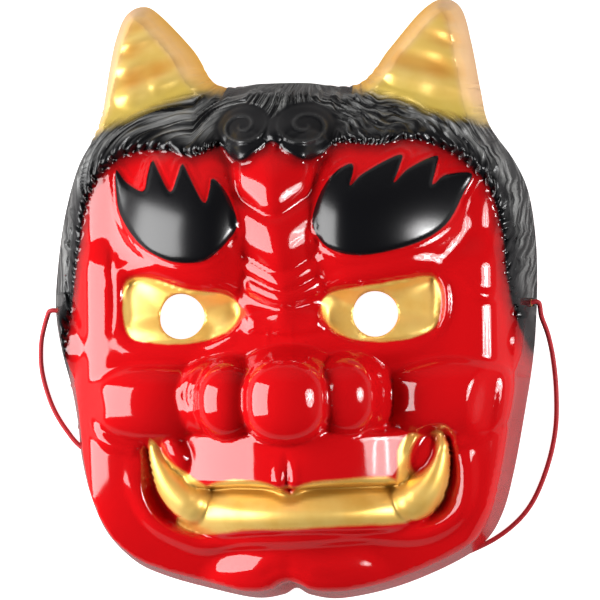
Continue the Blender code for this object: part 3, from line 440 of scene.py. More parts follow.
def add_rises(z, x, y, rises):
    """broad, low mounds"""
    for cx, cy, left, right, down, up, foot, peak, soft in rises:
        u = (x - cx) / np.where(x < cx, left, right)
        v = (y - cy) / np.where(y < cy, down, up)
        z = blend_over(z, foot + (peak - foot) * (1.0 - u * u - v * v), soft)
    return z


def add_swellings(z, x, y, swellings):
    """balls and long rolls that stand out of the face"""
    for cx, cy, half_x, half_y, foot, peak, turn, square_x, square_y, soft in swellings:
        u, v = along_axes(x, y, cx, cy, half_x, half_y, turn)
        r = np.abs(u) ** square_x + np.abs(v) ** square_y
        rise = np.sqrt(np.clip(1.0 - r, 0.0, 1.0))
        outside = (peak - foot) * np.clip(r - 1.0, 0.0, 3.0)
        z = blend_over(z, foot + (peak - foot) * rise - outside, soft)
    return z


def add_bar(z, x, y, bar):
    """a wide bar bent round the face, such as the upper lip"""
    cx, cy, radius_left, radius_right, half_y, square, height, fall, soft = bar
    bend = (x - cx) ** 2 / (2.0 * np.where(x < cx, radius_left, radius_right))
    ends = fall * np.minimum(np.abs((y - cy) / half_y) ** square, 4.0)
    return blend_over(z, height - bend - ends, soft)


def add_strokes(z, x, y, strokes):
    """soft ridges and grooves"""
    for stroke in strokes:
        line = smooth_line(stroke)
        distance, found = nearest(x, y, line, line[:, 2].max())
        t = np.clip(distance / np.maximum(found[:, 2], 0.3), 0.0, 1.0)
        z = z + found[:, 3] * (1.0 - t * t) ** 2
    return z


def add_dome(z, x, y, edge, ellipse, height):
    """a rounded rise inside a loop, cut off at the loop's edge"""
    u, v = along_axes(x, y, *ellipse, 0.0)
    dome = np.sqrt(np.clip(1.0 - u * u - v * v, 0.0, 1.0))
    return z + height * smooth_step((edge + 0.5) / 1.5) * dome


def plateau(edge, height, reach):
    """a flat rise with a rounded shoulder inside a loop"""
    t = np.clip(edge / reach, 0.0, 1.0)
    return height * (1.0 - (1.0 - t) ** 2)


def add_bridge(z, x, y):
    """the bridge of the nose: a roof with a rounded crest, and pleats across it like shingles"""
    low_x, low_y = BRIDGE_FOOT
    top_x, top_y = BRIDGE_TOP
    crest_x = low_x + (top_x - low_x) * smooth_step((y - low_y) / (top_y - low_y))
    away = np.sqrt((x - crest_x) ** 2 + BRIDGE_CREST ** 2) - BRIDGE_CREST
    fall = np.where(y < BRIDGE_MIDDLE, BRIDGE_FALL_DOWN, BRIDGE_FALL_UP) * (y - BRIDGE_MIDDLE) ** 2
    z = blend_over(z, BRIDGE_HEIGHT - BRIDGE_SLOPE * away - fall, 2.4)
    across = 1.0 - smooth_step((away - BRIDGE_HALF_WIDTH) / 5.0)
    for place, down, up, height, slant in PLEATS:
        along = y - slant * away - place
        t = np.clip(np.abs(along) / np.where(along < 0, down, up), 0.0, 1.0)
        z = z + height * (1.0 - t ** 2.6) * across
    return z


def face_loop():
    """the skin's own area: the hairline, closed below the chin"""
    return np.vstack([smooth_line(HAIRLINE), [(140, -60), (60, -200), (-60, -200), (-140, -60)]])


def horn_amount(x, y):
    """distance above the line where the horns stand out of the hair, minus below it"""
    left = y - np.interp(x, *np.array(HORN_FOOT_LEFT).T)
    right = y - np.interp(x, *np.array(HORN_FOOT_RIGHT).T)
    horn = np.where(x < 0, left, right)
    between = (x > HORN_FOOT_LEFT[-1][0]) & (x < HORN_FOOT_RIGHT[0][0])
    return np.where(between, -5.0, horn)


def base_form(x, y):
    """the plain dome of the face"""
    across = FALL_TO_SIDES * (np.abs(x) / 90.0) ** 14
    down = FALL_TO_CHIN * (np.maximum(-12.0 - y, 0.0) / 108.0) ** 4
    up = FALL_TO_HAIR * (np.maximum(y + 5.0, 0.0) / 93.0) ** 3.5
    forehead = FALL_OF_FOREHEAD * smooth_step((y - 12.0) / 16.0)
    return np.maximum(FACE_HEIGHT - across - down - up - forehead, LEAST_HEIGHT)


def combed_place(x, y, hair):
    """place across the combed locks, in mm: they leave the hairline square and sweep down the sides"""
    around = np.arctan2(y - 4.0, x) * 88.0
    sweep = LOCK_SWEEP * (np.sqrt(36.0 + np.maximum(hair, 0.0) ** 2) - 6.0) * np.tanh(x / 10.0)
    wave = LOCK_WAVE * np.sin(2 * math.pi * hair / 13.0 + 0.21 * around)
    return around - sweep + wave, around


def combed_locks(x, y, hair):
    """staggered tufts of combed hair with finer strands on them, as heights over the smooth form"""
    circle = 2 * math.pi
    across, around = combed_place(x, y, hair)
    along = (0.8 * around + hair) / TUFT_PITCH
    tuft = np.sin(circle * along + 1.7 * np.sin(circle * 0.5 * across / LOCK_PITCH))
    lock = np.sin(circle * across / LOCK_PITCH)
    strands = STRAND_HEIGHT * np.sin(circle * (across + 0.3 * tuft) / STRAND_PITCH)
    return LOCK_HEIGHT * lock * (0.7 + 0.3 * tuft) + TUFT_HEIGHT * tuft + strands


def add_hair(z, x, y, hair):
    """the hair stands proud of the skin in rolled locks; also where two curls lie, and their spirals"""
    circle = 2 * math.pi
    curled = np.zeros(x.shape)
    curl_line = np.zeros(x.shape)
    for cx, cy, half_x, half_y, hand in CURLS:
        u, v = along_axes(x, y, cx, cy, half_x, half_y, 0.0)
        r = np.hypot(u, v)
        curled = np.maximum(curled, smooth_step((1.35 - r) / 0.3))
        turn = 1.7 * r - np.arctan2(v, hand * u) / circle
        line = np.maximum(1.0 - np.abs((turn - 0.15) % 1.0 - 0.5) / 0.16, 0.0)
        curl_line += smooth_step(line) * smooth_step((1.05 - r) / 0.2) * smooth_step(r / 0.3)
        z = z + CURL_RISE * np.sqrt(np.clip(1.0 - r * r, 0.0, 1.0))
    for cx, cy, half_x, half_y in CURL_LOBES:
        u, v = along_axes(x, y, cx, cy, half_x, half_y, 0.0)
        r = np.hypot(u, v)
        curled = np.maximum(curled, smooth_step((1.25 - r) / 0.3))
        z = z + LOBE_RISE * np.sqrt(np.clip(1.0 - r * r, 0.0, 1.0))
    across, _ = combed_place(x, y, hair)
    lock = np.abs(np.sin(circle * 0.5 * across / LOCK_END_PITCH))
    notch = LOCK_NOTCH * (1.0 - lock) ** 1.5 * (1.0 - curled) * np.exp(-np.maximum(hair, 0.0) / 7.0)
    t = np.clip((hair - notch + 0.6) / LOCK_ROLL, 0.0, 1.0)
    z = z + HAIR_RISE * np.sqrt(1.0 - (1.0 - t) ** 2)
    z = z + LOCK_END_RELIEF * lock * np.exp(-((hair - 2.8) / 2.4) ** 2) * (1.0 - curled)
    return z + CURL_LINE * curl_line, curled, curl_line


def add_tusks(z, x, y):
    """both tusks"""
    for tusk in TUSKS:
        distance, found = nearest(x, y, smooth_line(tusk), 12.0)
        half_width = np.maximum(found[:, 2], 0.3)
        across = np.clip(distance / half_width, 0.0, 1.0)
        surface = found[:, 3] + found[:, 4] * np.sqrt(1.0 - across * across)
        z = np.where(distance < half_width, blend_over(z, surface, 0.6), z)
    return z


def rim_height(x, y):
    """the rim lies on the floor at the chin and along the top, and lifts a little at the jaws"""
    return RIM_LIFT * smooth_step((np.abs(x) - 30.0) / 40.0) * (1.0 - smooth_step((y - 10.0) / 50.0))


def toward_face_middle(x, y):
    """0 on the outer side of each horn, 1 on its inner side"""
    toward_middle = np.where(x > 0, 60.0 - x, x + 62.0) + (y - 100.0) * 0.2
    return smooth_step(toward_middle / 12.0)


def side_wall(x, y, depth):
    """height that the round shoulder has reached at a distance in from the rim"""
    horns = smooth_step((y - 74.0) / 10.0) * (1.0 - np.exp(-((x + 2.0) / 28.0) ** 4))
    horn_width = HORN_OUTER_WIDTH + (HORN_INNER_WIDTH - HORN_OUTER_WIDTH) * toward_face_middle(x, y)
    width = SHOULDER_WIDTH + (horn_width - SHOULDER_WIDTH) * horns
    share = np.clip(depth / width, 0.0, 1.0)
    beyond = np.maximum(depth - width, 0.0)
    fuller = 1.0 + FULL_LEFT_JAW * smooth_step((-40.0 - y) / 15.0) * smooth_step((-20.0 - x) / 20.0)
    rounded = fuller * SHOULDER_HEIGHT * np.sqrt(1.0 - (1.0 - share) ** 2) + 0.6 * beyond + 0.06 * beyond ** 2
    return rounded + rim_height(x, y), 5.0 - 2.5 * horns


def depth_in_each(x, y, outlines):
    """distance in from the edge of whichever outline a point is deepest in"""
    return np.max([depth_in(x, y, smooth_line(outline, True)) for outline in outlines], axis=0)


def face_height(x, y):
    """height of the outer surface over the floor, the areas that paint follows, and the combed relief"""
    hair = -depth_in(x, y, face_loop())
    eye = depth_in_each(x, y, [EYE_LEFT, EYE_RIGHT])
    brow = depth_in_each(x, y, [BROW_LEFT, BROW_RIGHT])
    teeth = depth_in_each(x, y, [TEETH])
    mouth = depth_in_each(x, y, [MOUTH])
    depth = depth_in_each(x, y, [OUTLINE])

    z = add_rises(base_form(x, y), x, y, BONES)
    z = z - SOCKET_DEPTH * smooth_step((eye + SOCKET_EDGE) / SOCKET_REACH)
    z = z + plateau(brow + 0.6, BROW_RISE, BROW_SHOULDER)
    z = z + BROW_BEAD * np.maximum(1.0 - ((brow + 2.2) / 1.3) ** 2, 0.0) ** 2
    z = add_strokes(z, x, y, LIDS)
    z = add_rises(z, x, y, POUCHES)
    z = z - EYE_RECESS * smooth_step((eye + 1.0) / 2.4)
    for dome in EYE_DOMES:
        z = add_dome(z, x, y, eye, dome, EYE_BULGE)
    z = add_bridge(z, x, y)
    z = add_strokes(z, x, y, BROW_FOLDS + NOSE_LINES)
    z = add_swellings(z, x, y, CHEEKS)
    z = add_bar(z, x, y, UPPER_LIP)
    z = add_swellings(z, x, y, NOSE)
    z = add_strokes(z, x, y, WING_FOLDS)
    z = add_swellings(z, x, y, LIP_FOLDS)
    z = add_strokes(z, x, y, PHILTRUM)
    z = z - MOUTH_DEPTH * smooth_step((mouth + 0.8) / MOUTH_SLOPE)
    z = z + (add_bar(z, x, y, TEETH_BAR) - z) * smooth_step((mouth + 3.0) / 3.0)
    z = add_strokes(z, x, y, TEETH_GROOVE)
    z = add_tusks(z, x, y)
    z = add_strokes(z, x, y, LOWER_LIP + CHEEK_FOLDS)
    z = add_bar(z, x, y, CHIN)
    z = add_strokes(z, x, y, CHIN_CLEFT + TEMPLES)
    z, curled, curl_line = add_hair(z, x, y, hair)

    horn = horn_amount(x, y)
    horn_front = add_strokes(HORN_HEIGHT - HORN_SLOPE * (y - 80.0), x, y, HORN_RINGS)
    share = smooth_step((horn + 3.0) / 5.0)
    z = z * (1.0 - share) + horn_front * share
    wall, soft = side_wall(x, y, depth)
    z = np.maximum(blend_under(z, wall, soft), rim_height(x, y))
    combed = smooth_step((hair - 1.0) / 3.0) * (1.0 - curled) * (1.0 - share)
    combed = combed * smooth_step((depth - 0.7) / 2.0)
    u, v = along_axes(x, y, *MISSED_SPOT)
    tusk = np.minimum(depth_in_each(x, y, TUSK_PAINT), 4.0 * (np.hypot(u, v) - 1.0))
    areas = {"depth": depth, "hair": hair, "eye": eye, "brow": brow, "teeth": teeth, "tusk": tusk}
    areas["horn"] = horn
    areas["combed"] = combed * combed_locks(x, y, hair)
    areas["comb_across"], around = combed_place(x, y, hair)
    areas["comb_along"] = 0.8 * around + hair
    areas["horn_rim"] = 1.0 - smooth_step((depth - 5.0) / 5.0)
    areas["horn_foot"] = 1.0 - smooth_step((horn - 1.0) / 9.0)
    areas["curled"] = curled
    areas["curl_line"] = curl_line
    areas["horn_inner"] = toward_face_middle(x, y) * (1.0 - smooth_step((depth - 3.0) / 1.6))
    # Painted shade in the grooves between the rings of the horns.
    areas["ring_shade"] = 0.4 * add_strokes(np.zeros(x.shape), x, y - RING_SHADE_OVER, HORN_RINGS)
    # Painted shade along the top of the teeth, under the upper lip.
    bite_shade, _ = nearest(x, y - BITE_OVER, smooth_line(BITE_LINE), 6.0)
    areas["bite_shade"] = 1.0 - smooth_step((bite_shade - 1.6) / 1.8)
    return z, areas


# Elastic: x, y, height of its middle, in mm, the same route as the solid's.
CORD_ROUTE = [
    (-102.6, -5.2, 7.2), (-105.2, -12.0, 3.6), (-106.5, -18.0, 1.4), (-106.5, -26.0, 1.02),
    (-104.8, -34.5, 1.02), (-101.6, -43.5, 1.02), (-96.4, -52.2, 1.02), (-89.4, -60.0, 1.02),
    (-70.0, -73.6, 1.02), (-40.0, -89.6, 1.02), (-2.0, -102.4, 1.02), (36.0, -106.8, 1.02),
    (58.0, -105.8, 1.02), (73.8, -100.4, 1.02), (85.6, -92.8, 1.02), (94.0, -83.0, 1.02),
    (100.2, -68.6, 1.02), (103.6, -54.0, 1.02), (104.2, -39.5, 1.02), (103.2, -26.0, 1.4),
    (101.2, -15.6, 4.6), (98.6, -8.0, 8.6),
]

# Photograph: 600 pixels square. The camera looks down, tilted a little to the viewer's right.
PHOTO_PIXELS = 600
PIXELS_PER_METRE = 2449.0
CAMERA_DISTANCE = 1.10
CAMERA_TILT = math.radians(5.0)
CAMERA_ROLL = math.radians(0.8)
MIDDLE_COLUMN = 298.7


def face_middle():
    """middle of the outline's box, which stands over the origin"""
    line = smooth_line(OUTLINE, True)
    return (line.min(axis=0) + line.max(axis=0)) / 2.0


def even_loop(line, step):
    """the same closed line with a point about every step"""
    ring = np.vstack([line, line[:1]])
    length = np.concatenate([[0.0], np.cumsum(np.hypot(*np.diff(ring, axis=0).T))])
    count = round(length[-1] / step)
    places = np.arange(count) * length[-1] / count
    return np.column_stack([np.interp(places, length, ring[:, 0]), np.interp(places, length, ring[:, 1])])


def grid_inside(rim, least_depth, step):
    """a triangular grid of points within a loop"""
    low, high = rim.min(axis=0), rim.max(axis=0)
    across, up = np.meshgrid(np.arange(low[0], high[0], step), np.arange(low[1], high[1], step * 0.866))
    across = across + 0.5 * step * (np.arange(len(up)) % 2)[:, None]
    grid = np.column_stack([across.ravel(), up.ravel()])
    return grid[depth_in(grid[:, 0], grid[:, 1], rim, 200.0) > least_depth]


def rows_inside(rim, rows):
    """lines of points that follow the rim, further and further in, then grids, finer in the hair"""
    along = np.roll(rim, -1, axis=0) - np.roll(rim, 1, axis=0)
    inward = np.column_stack([-along[:, 1], along[:, 0]]) / np.hypot(*along.T)[:, None]
    kept = []
    for distance in rows:
        row = rim + inward * distance
        depth = depth_in(row[:, 0], row[:, 1], rim, 2 * distance)
        kept.append(row[depth > 0.97 * distance])
    for step, in_hair in ((MESH_STEP, False), (HAIR_MESH_STEP, True)):
        grid = grid_inside(rim, rows[-1] + 0.6 * MESH_STEP, step)
        hair = -depth_in(grid[:, 0], grid[:, 1], face_loop(), 200.0)
        kept.append(grid[(hair > -1.2) == in_hair])
    return np.vstack(kept)


def circle(centre, radius, sides):
    """points round a circle"""
    turn = np.arange(sides) * 2 * math.pi / sides
    return np.column_stack([centre[0] + radius * np.cos(turn), centre[1] + radius * np.sin(turn)])


def formed_face():
    """the outer surface as a fine mesh with the edges of each paint as attributes, in mm"""
    rim = even_loop(smooth_line(OUTLINE, True, 12), MESH_STEP)
    points = rows_inside(rim, RIM_ROWS)
    holes = []
    for centre in (EYE_HOLE_LEFT, EYE_HOLE_RIGHT):
        away = np.hypot(points[:, 0] - centre[0], points[:, 1] - centre[1])
        points = points[away > EYE_HOLE_RADIUS + 0.4 * MESH_STEP]
        holes.append(circle(centre, EYE_HOLE_RADIUS, EYE_HOLE_SIDES))
    points = np.vstack([rim] + holes + [points])
    loops = []
    start = 0
    for count in (len(rim), EYE_HOLE_SIDES, EYE_HOLE_SIDES):
        loops.append(list(range(start, start + count)))
        start += count
    edges = [(loop[i], loop[(i + 1) % len(loop)]) for loop in loops[1:] for i in range(len(loop))]
    flat = delaunay_2d_cdt([Vector(p) for p in points], edges, [loops[0]], 1, 1e-5)
    places = np.array([tuple(p) for p in flat[0]])
    faces = np.array([tuple(face) for face in flat[2]])
    centres = places[faces].mean(axis=1)
    for centre in (EYE_HOLE_LEFT, EYE_HOLE_RIGHT):
        keep = np.hypot(centres[:, 0] - centre[0], centres[:, 1] - centre[1]) > EYE_HOLE_RADIUS
        faces, centres = faces[keep], centres[keep]
    used = np.unique(faces)
    new_number = np.zeros(len(places), dtype=int)
    new_number[used] = np.arange(len(used))
    places, faces = places[used], new_number[faces]
    height, areas = face_height(places[:, 0], places[:, 1])
    on_rim = areas["depth"] < 0.01
    height[on_rim] = rim_height(places[on_rim, 0], places[on_rim, 1])
    spots = np.column_stack([places - face_middle(), height]) * MM
    mesh = bpy.data.meshes.new("mask_face")
    mesh.from_pydata(spots.tolist(), [], faces.tolist())
    ways_out = [normal.vector.copy() for normal in mesh.vertex_normals]
    for vertex, way_out, relief in zip(mesh.vertices, ways_out, areas["combed"].tolist()):
        vertex.co += way_out * (relief * MM)
    for name, values in areas.items():
        layer = mesh.attributes.new(name + "_area", "FLOAT", "POINT")
        layer.data.foreach_set("value", values.astype(np.float32))
    mesh.shade_smooth()
    return mesh


def socket_value(node, name, value):
    node.inputs[name].default_value = value


def new_material(name):
    material = bpy.data.materials.new(name)
    material.use_nodes = True
    nodes = material.node_tree.nodes
    return material, nodes, material.node_tree.links, nodes["Principled BSDF"]


def spray_group():
    """mask of a sprayed colour from the distance to its edge, with a grainy, wavering border"""
    group = bpy.data.node_groups.new("sprayed_area", "ShaderNodeTree")
    face = group.interface
    for name, value in (("Edge distance", 0.0), ("Softness", 0.5), ("Waver", 0.3), ("Grain", 0.2),
                        ("Shift", 0.0)):
        face.new_socket(name, in_out="INPUT", socket_type="NodeSocketFloat").default_value = value
    face.new_socket("Mask", in_out="OUTPUT", socket_type="NodeSocketFloat")
    nodes, links = group.nodes, group.links
    take = nodes.new("NodeGroupInput")
    give = nodes.new("NodeGroupOutput")
    place = nodes.new("ShaderNodeTexCoord")

    def noise(scale, detail):
        node = nodes.new("ShaderNodeTexNoise")
        socket_value(node, "Scale", scale)
        socket_value(node, "Detail", detail)
        links.new(place.outputs["Object"], node.inputs["Vector"])
        centred = nodes.new("ShaderNodeMath")
        centred.operation = "SUBTRACT"
        links.new(node.outputs["Fac"], centred.inputs[0])
        centred.inputs[1].default_value = 0.5
        return centred.outputs[0]

    def math_node(kind, first, second):
        node = nodes.new("ShaderNodeMath")
        node.operation = kind
        for socket, value in zip(node.inputs, (first, second)):
            if isinstance(value, float):
                socket.default_value = value
            else:
                links.new(value, socket)
        return node.outputs[0]

    waver = math_node("MULTIPLY", noise(140.0, 2.0), take.outputs["Waver"])
    grain = math_node("MULTIPLY", noise(2600.0, 1.0), take.outputs["Grain"])
    shifted = math_node("ADD", take.outputs["Edge distance"], take.outputs["Shift"])
    moved = math_node("ADD", math_node("ADD", shifted, waver), grain)
    across = math_node("DIVIDE", moved, take.outputs["Softness"])
    ramp = nodes.new("ShaderNodeMapRange")
    ramp.interpolation_type = "SMOOTHSTEP"
    socket_value(ramp, "From Min", -0.5)
    socket_value(ramp, "From Max", 0.5)
    links.new(across, ramp.inputs["Value"])
    links.new(ramp.outputs["Result"], give.inputs["Mask"])
    return group


def mix_colour(nodes, links, share, first, second):
    node = nodes.new("ShaderNodeMix")
    node.data_type = "RGBA"
    links.new(share, node.inputs["Factor"])
    for socket, value in ((node.inputs["A"], first), (node.inputs["B"], second)):
        if isinstance(value, tuple):
            socket.default_value = value
        else:
            links.new(value, socket)
    return node.outputs["Result"]


def mix_value(nodes, links, share, first, second):
    node = nodes.new("ShaderNodeMix")
    node.data_type = "FLOAT"
    links.new(share, node.inputs["Factor"])
    for socket, value in ((node.inputs["A"], first), (node.inputs["B"], second)):
        if isinstance(value, float):
            socket.default_value = value
        else:
            links.new(value, socket)
    return node.outputs["Result"]


def product(nodes, links, first, second):
    node = nodes.new("ShaderNodeMath")
    node.operation = "MULTIPLY"
    links.new(first, node.inputs[0])
    if isinstance(second, float):
        node.inputs[1].default_value = second
    else:
        links.new(second, node.inputs[1])
    return node.outputs[0]


def ramp(nodes, links, component, low, high, strength=1.0):
    """0 up to a strength, with soft ends, between two values"""
    node = nodes.new("ShaderNodeMapRange")
    node.interpolation_type = "SMOOTHSTEP"
    socket_value(node, "From Min", low)
    socket_value(node, "From Max", high)
    socket_value(node, "To Max", strength)
    links.new(component, node.inputs["Value"])
    return node.outputs["Result"]


def mottle_group():
    """slow and fine unevenness, both about 0.5 in the middle"""
    group = bpy.data.node_groups.new("uneven_finish", "ShaderNodeTree")
    face = group.interface
    for name, value in (("Slow scale", 40.0), ("Fine scale", 900.0)):
        face.new_socket(name, in_out="INPUT", socket_type="NodeSocketFloat").default_value = value
    for name in ("Slow", "Fine"):
        face.new_socket(name, in_out="OUTPUT", socket_type="NodeSocketFloat")
    take = group.nodes.new("NodeGroupInput")
    give = group.nodes.new("NodeGroupOutput")
    place = group.nodes.new("ShaderNodeTexCoord")
    for name, detail in (("Slow", 4.0), ("Fine", 2.0)):
        node = group.nodes.new("ShaderNodeTexNoise")
        socket_value(node, "Detail", detail)
        group.links.new(place.outputs["Object"], node.inputs["Vector"])
        group.links.new(take.outputs[name + " scale"], node.inputs["Scale"])
        group.links.new(node.outputs["Fac"], give.inputs[name])
    return group


def uneven(nodes, group, slow_scale, fine_scale):
    """the slow and the fine unevenness at two scales, per metre"""
    node = nodes.new("ShaderNodeGroup")
    node.node_tree = group
    socket_value(node, "Slow scale", slow_scale)
    socket_value(node, "Fine scale", fine_scale)
    return node.outputs["Slow"], node.outputs["Fine"]


def add_bump(nodes, links, shader, height):
    """relief given in millimetres"""
    node = nodes.new("ShaderNodeBump")
    socket_value(node, "Distance", MM)
    links.new(height, node.inputs["Height"])
    links.new(node.outputs["Normal"], shader.inputs["Normal"])


def sum_of(nodes, links, *values):
    total = values[0]
    for value in values[1:]:
        node = nodes.new("ShaderNodeMath")
        links.new(total, node.inputs[0])
        links.new(value, node.inputs[1])
        total = node.outputs[0]
    return total


def painted_plastic(spray, mottle):
    """red plastic with black hair and brows and gold eyes, horns, tusks and teeth sprayed on"""
    material, nodes, links, shader = new_material("sprayed_red_plastic")

    def mask(name):
        node = nodes.new("ShaderNodeAttribute")
        node.attribute_name = name + "_area"
        return node.outputs["Fac"]

    def area(distance, softness, waver, grain, shift=0.0):
        node = nodes.new("ShaderNodeGroup")
        node.node_tree = spray
        links.new(distance, node.inputs["Edge distance"])
        for name, value in (("Softness", softness), ("Waver", waver), ("Grain", grain), ("Shift", shift)):
            socket_value(node, name, value)
        return node.outputs["Mask"]

    def most(first, second):
        node = nodes.new("ShaderNodeMath")
        node.operation = "MAXIMUM"
        links.new(first, node.inputs[0])
        links.new(second, node.inputs[1])
        return node.outputs[0]

    def over(share, below, above):
        return mix_colour(nodes, links, share, below, above)

    def part_of(value, factor):
        return product(nodes, links, value, factor)

    slow, fine = uneven(nodes, mottle, 32.0, 420.0)
    cloud, grain = uneven(nodes, mottle, 90.0, 2600.0)
    gold = most(most(area(mask("eye"), 1.2, 0.8, 0.5), area(mask("teeth"), 2.2, 1.0, 0.6, 0.4)),
                area(mask("tusk"), 2.0, 1.2, 0.6))
    hair = area(mask("hair"), 1.4, 1.0, 0.8, 0.3)
    black = most(area(mask("brow"), 0.6, 0.2, 0.2), hair)
    drift = area(mask("hair"), 8.0, 3.0, 1.0, 2.4)
    horn = area(mask("horn"), 6.0, 2.0, 1.5, 1.0)

    place = nodes.new("ShaderNodeCombineXYZ")
    links.new(part_of(mask("comb_across"), STREAKS_PER_MM), place.inputs["X"])
    links.new(part_of(mask("comb_along"), STREAKS_PER_MM / STREAK_LENGTH), place.inputs["Y"])
    streaks = nodes.new("ShaderNodeTexNoise")
    socket_value(streaks, "Scale", 1.0)
    socket_value(streaks, "Detail", 3.0)
    socket_value(streaks, "Distortion", 0.5)
    links.new(place.outputs["Vector"], streaks.inputs["Vector"])
    streak = streaks.outputs["Fac"]
    combed = ramp(nodes, links, sum_of(nodes, links, mask("curled"), horn), 1.0, 0.0)
    # Painted sheen: grey streaks in the black hair from a few mm behind the rolled ends, not on the curls or
    # horns.
    behind_the_ends = ramp(nodes, links, mask("hair"), 3.0, 8.0)
    painted_hair_sheen = product(nodes, links, ramp(nodes, links, streak, 0.40, 0.72), behind_the_ends)
    painted_hair_sheen = product(nodes, links, painted_hair_sheen, combed)

    red = over(ramp(nodes, links, slow, 0.35, 0.7), RED_PLASTIC, RED_PLASTIC_DEEP)
    plate = over(ramp(nodes, links, cloud, 0.35, 0.7), HORN_PLATE, HORN_PLATE_PALE)
    plate = over(mask("horn_rim"), plate, HORN_EDGE)
    # Painted shade between the rings of the horns.
    plate = over(part_of(mask("ring_shade"), 0.7), plate, HORN_PAINTED_SHADE)
    plate = over(part_of(mask("horn_foot"), 0.6), plate, HORN_FOOT)
    plate = over(mask("horn_inner"), plate, HORN_INSIDE)
    metal_gold = over(ramp(nodes, links, cloud, 0.3, 0.7), GOLD_PAINT, GOLD_PAINT_DEEP)
    # Painted shade: the gold at the top of the teeth darkened where the upper lip overhangs it.
    metal_gold = over(part_of(mask("bite_shade"), 0.9), metal_gold, GOLD_PAINTED_SHADE)
    # Painted sheen: the grey streaks of the hair, and a faint grey painted highlight along the curls' spiral
    # lines.
    dark = over(most(painted_hair_sheen, part_of(mask("curl_line"), 0.12)), BLACK_PAINT, BLACK_PAINTED_SHEEN)

    colour = over(gold, red, metal_gold)
    colour = over(part_of(drift, 0.8), colour, BLACK_PAINT)
    colour = over(black, colour, dark)
    colour = over(horn, colour, plate)
    links.new(colour, shader.inputs["Base Color"])

    rough = mix_value(nodes, links, ramp(nodes, links, slow, 0.4, 0.75), 0.06, 0.11)
    rough = mix_value(nodes, links, gold, rough, 0.40)
    rough = mix_value(nodes, links, black, rough, 0.24)
    rough = mix_value(nodes, links, area(mask("hair"), 4.0, 1.0, 0.0, -2.0), rough, 0.34)
    rough = mix_value(nodes, links, horn, rough, 0.34)
    links.new(rough, shader.inputs["Roughness"])
    metal = mix_value(nodes, links, gold, 0.0, 0.52)
    metal = mix_value(nodes, links, black, metal, 0.0)
    metal = mix_value(nodes, links, horn, metal, 0.40)
    links.new(metal, shader.inputs["Metallic"])

    in_the_hair = product(nodes, links, combed, area(mask("hair"), 3.0, 0.5, 0.0, -1.6))
    strands = product(nodes, links, part_of(streak, HAIR_STREAK_RELIEF), in_the_hair)
    grains = product(nodes, links, part_of(grain, PAINT_GRAIN_RELIEF), most(gold, horn))
    add_bump(nodes, links, shader, sum_of(nodes, links, part_of(fine, PEEL_RELIEF), strands, grains))
    return material


def bare_plastic(mottle):
    """the unpainted back of the sheet"""
    material, nodes, links, shader = new_material("bare_red_plastic")
    slow, fine = uneven(nodes, mottle, 30.0, 500.0)
    links.new(mix_colour(nodes, links, ramp(nodes, links, slow, 0.3, 0.7), RED_PLASTIC, RED_PLASTIC_DEEP),
              shader.inputs["Base Color"])
    rough = mix_value(nodes, links, ramp(nodes, links, slow, 0.3, 0.8), 0.22, 0.36)
    links.new(rough, shader.inputs["Roughness"])
    add_bump(nodes, links, shader, product(nodes, links, fine, 2 * PEEL_RELIEF))
    return material


def elastic_thread(mottle):
    """covered elastic: fine fibres, a little uneven in colour"""
    material, nodes, links, shader = new_material("red_elastic_thread")
    slow, fine = uneven(nodes, mottle, 260.0, 3200.0)
    links.new(mix_colour(nodes, links, ramp(nodes, links, fine, 0.35, 0.65), THREAD_RED_DEEP, THREAD_RED),
              shader.inputs["Base Color"])
    links.new(mix_value(nodes, links, slow, 0.5, 0.8), shader.inputs["Roughness"])
    add_bump(nodes, links, shader, product(nodes, links, fine, FIBRE_RELIEF))
    return material


def knot_middle(name):
    low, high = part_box(name)
    return (Vector(low) + Vector(high)) / 2.0


def cord_hole_cutter(name, wall_x):
    """a round punch through a side wall, level with the knot behind it"""
    middle = knot_middle(name)
    bpy.ops.mesh.primitive_cylinder_add(vertices=24, radius=CORD_HOLE_RADIUS, depth=CORD_HOLE_LENGTH)
    cutter = bpy.context.active_object
    cutter.rotation_euler = (0.0, math.pi / 2, 0.0)
    cutter.location = (wall_x, middle.y, middle.z)
    return cutter


def build_face(material, back_material):
    mesh = formed_face()
    face = bpy.data.objects.new("moulded_face", mesh)
    bpy.context.scene.collection.objects.link(face)
    mesh.materials.append(material)
    mesh.materials.append(back_material)
    thick = face.modifiers.new("sheet_thickness", "SOLIDIFY")
    thick.thickness = SHEET_THICKNESS
    thick.offset = -1.0
    thick.material_offset = 1
    cutters = [cord_hole_cutter("elastic_knot_left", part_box("elastic_knot_left")[0][0]),
               cord_hole_cutter("elastic_knot_right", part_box("elastic_knot_right")[1][0])]
    for cutter in cutters:
        cut = face.modifiers.new("cord_hole", "BOOLEAN")
        cut.operation = "DIFFERENCE"
        cut.object = cutter
    bpy.context.view_layer.update()
    shape = face.evaluated_get(bpy.context.evaluated_depsgraph_get())
    face.data = bpy.data.meshes.new_from_object(shape)
    face.modifiers.clear()
    for cutter in cutters:
        bpy.data.objects.remove(cutter, do_unlink=True)
    for vertex in face.data.vertices:
        vertex.co.z = max(vertex.co.z, 0.0)
    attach(face, "root")
    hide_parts("mask_shell")
    return face


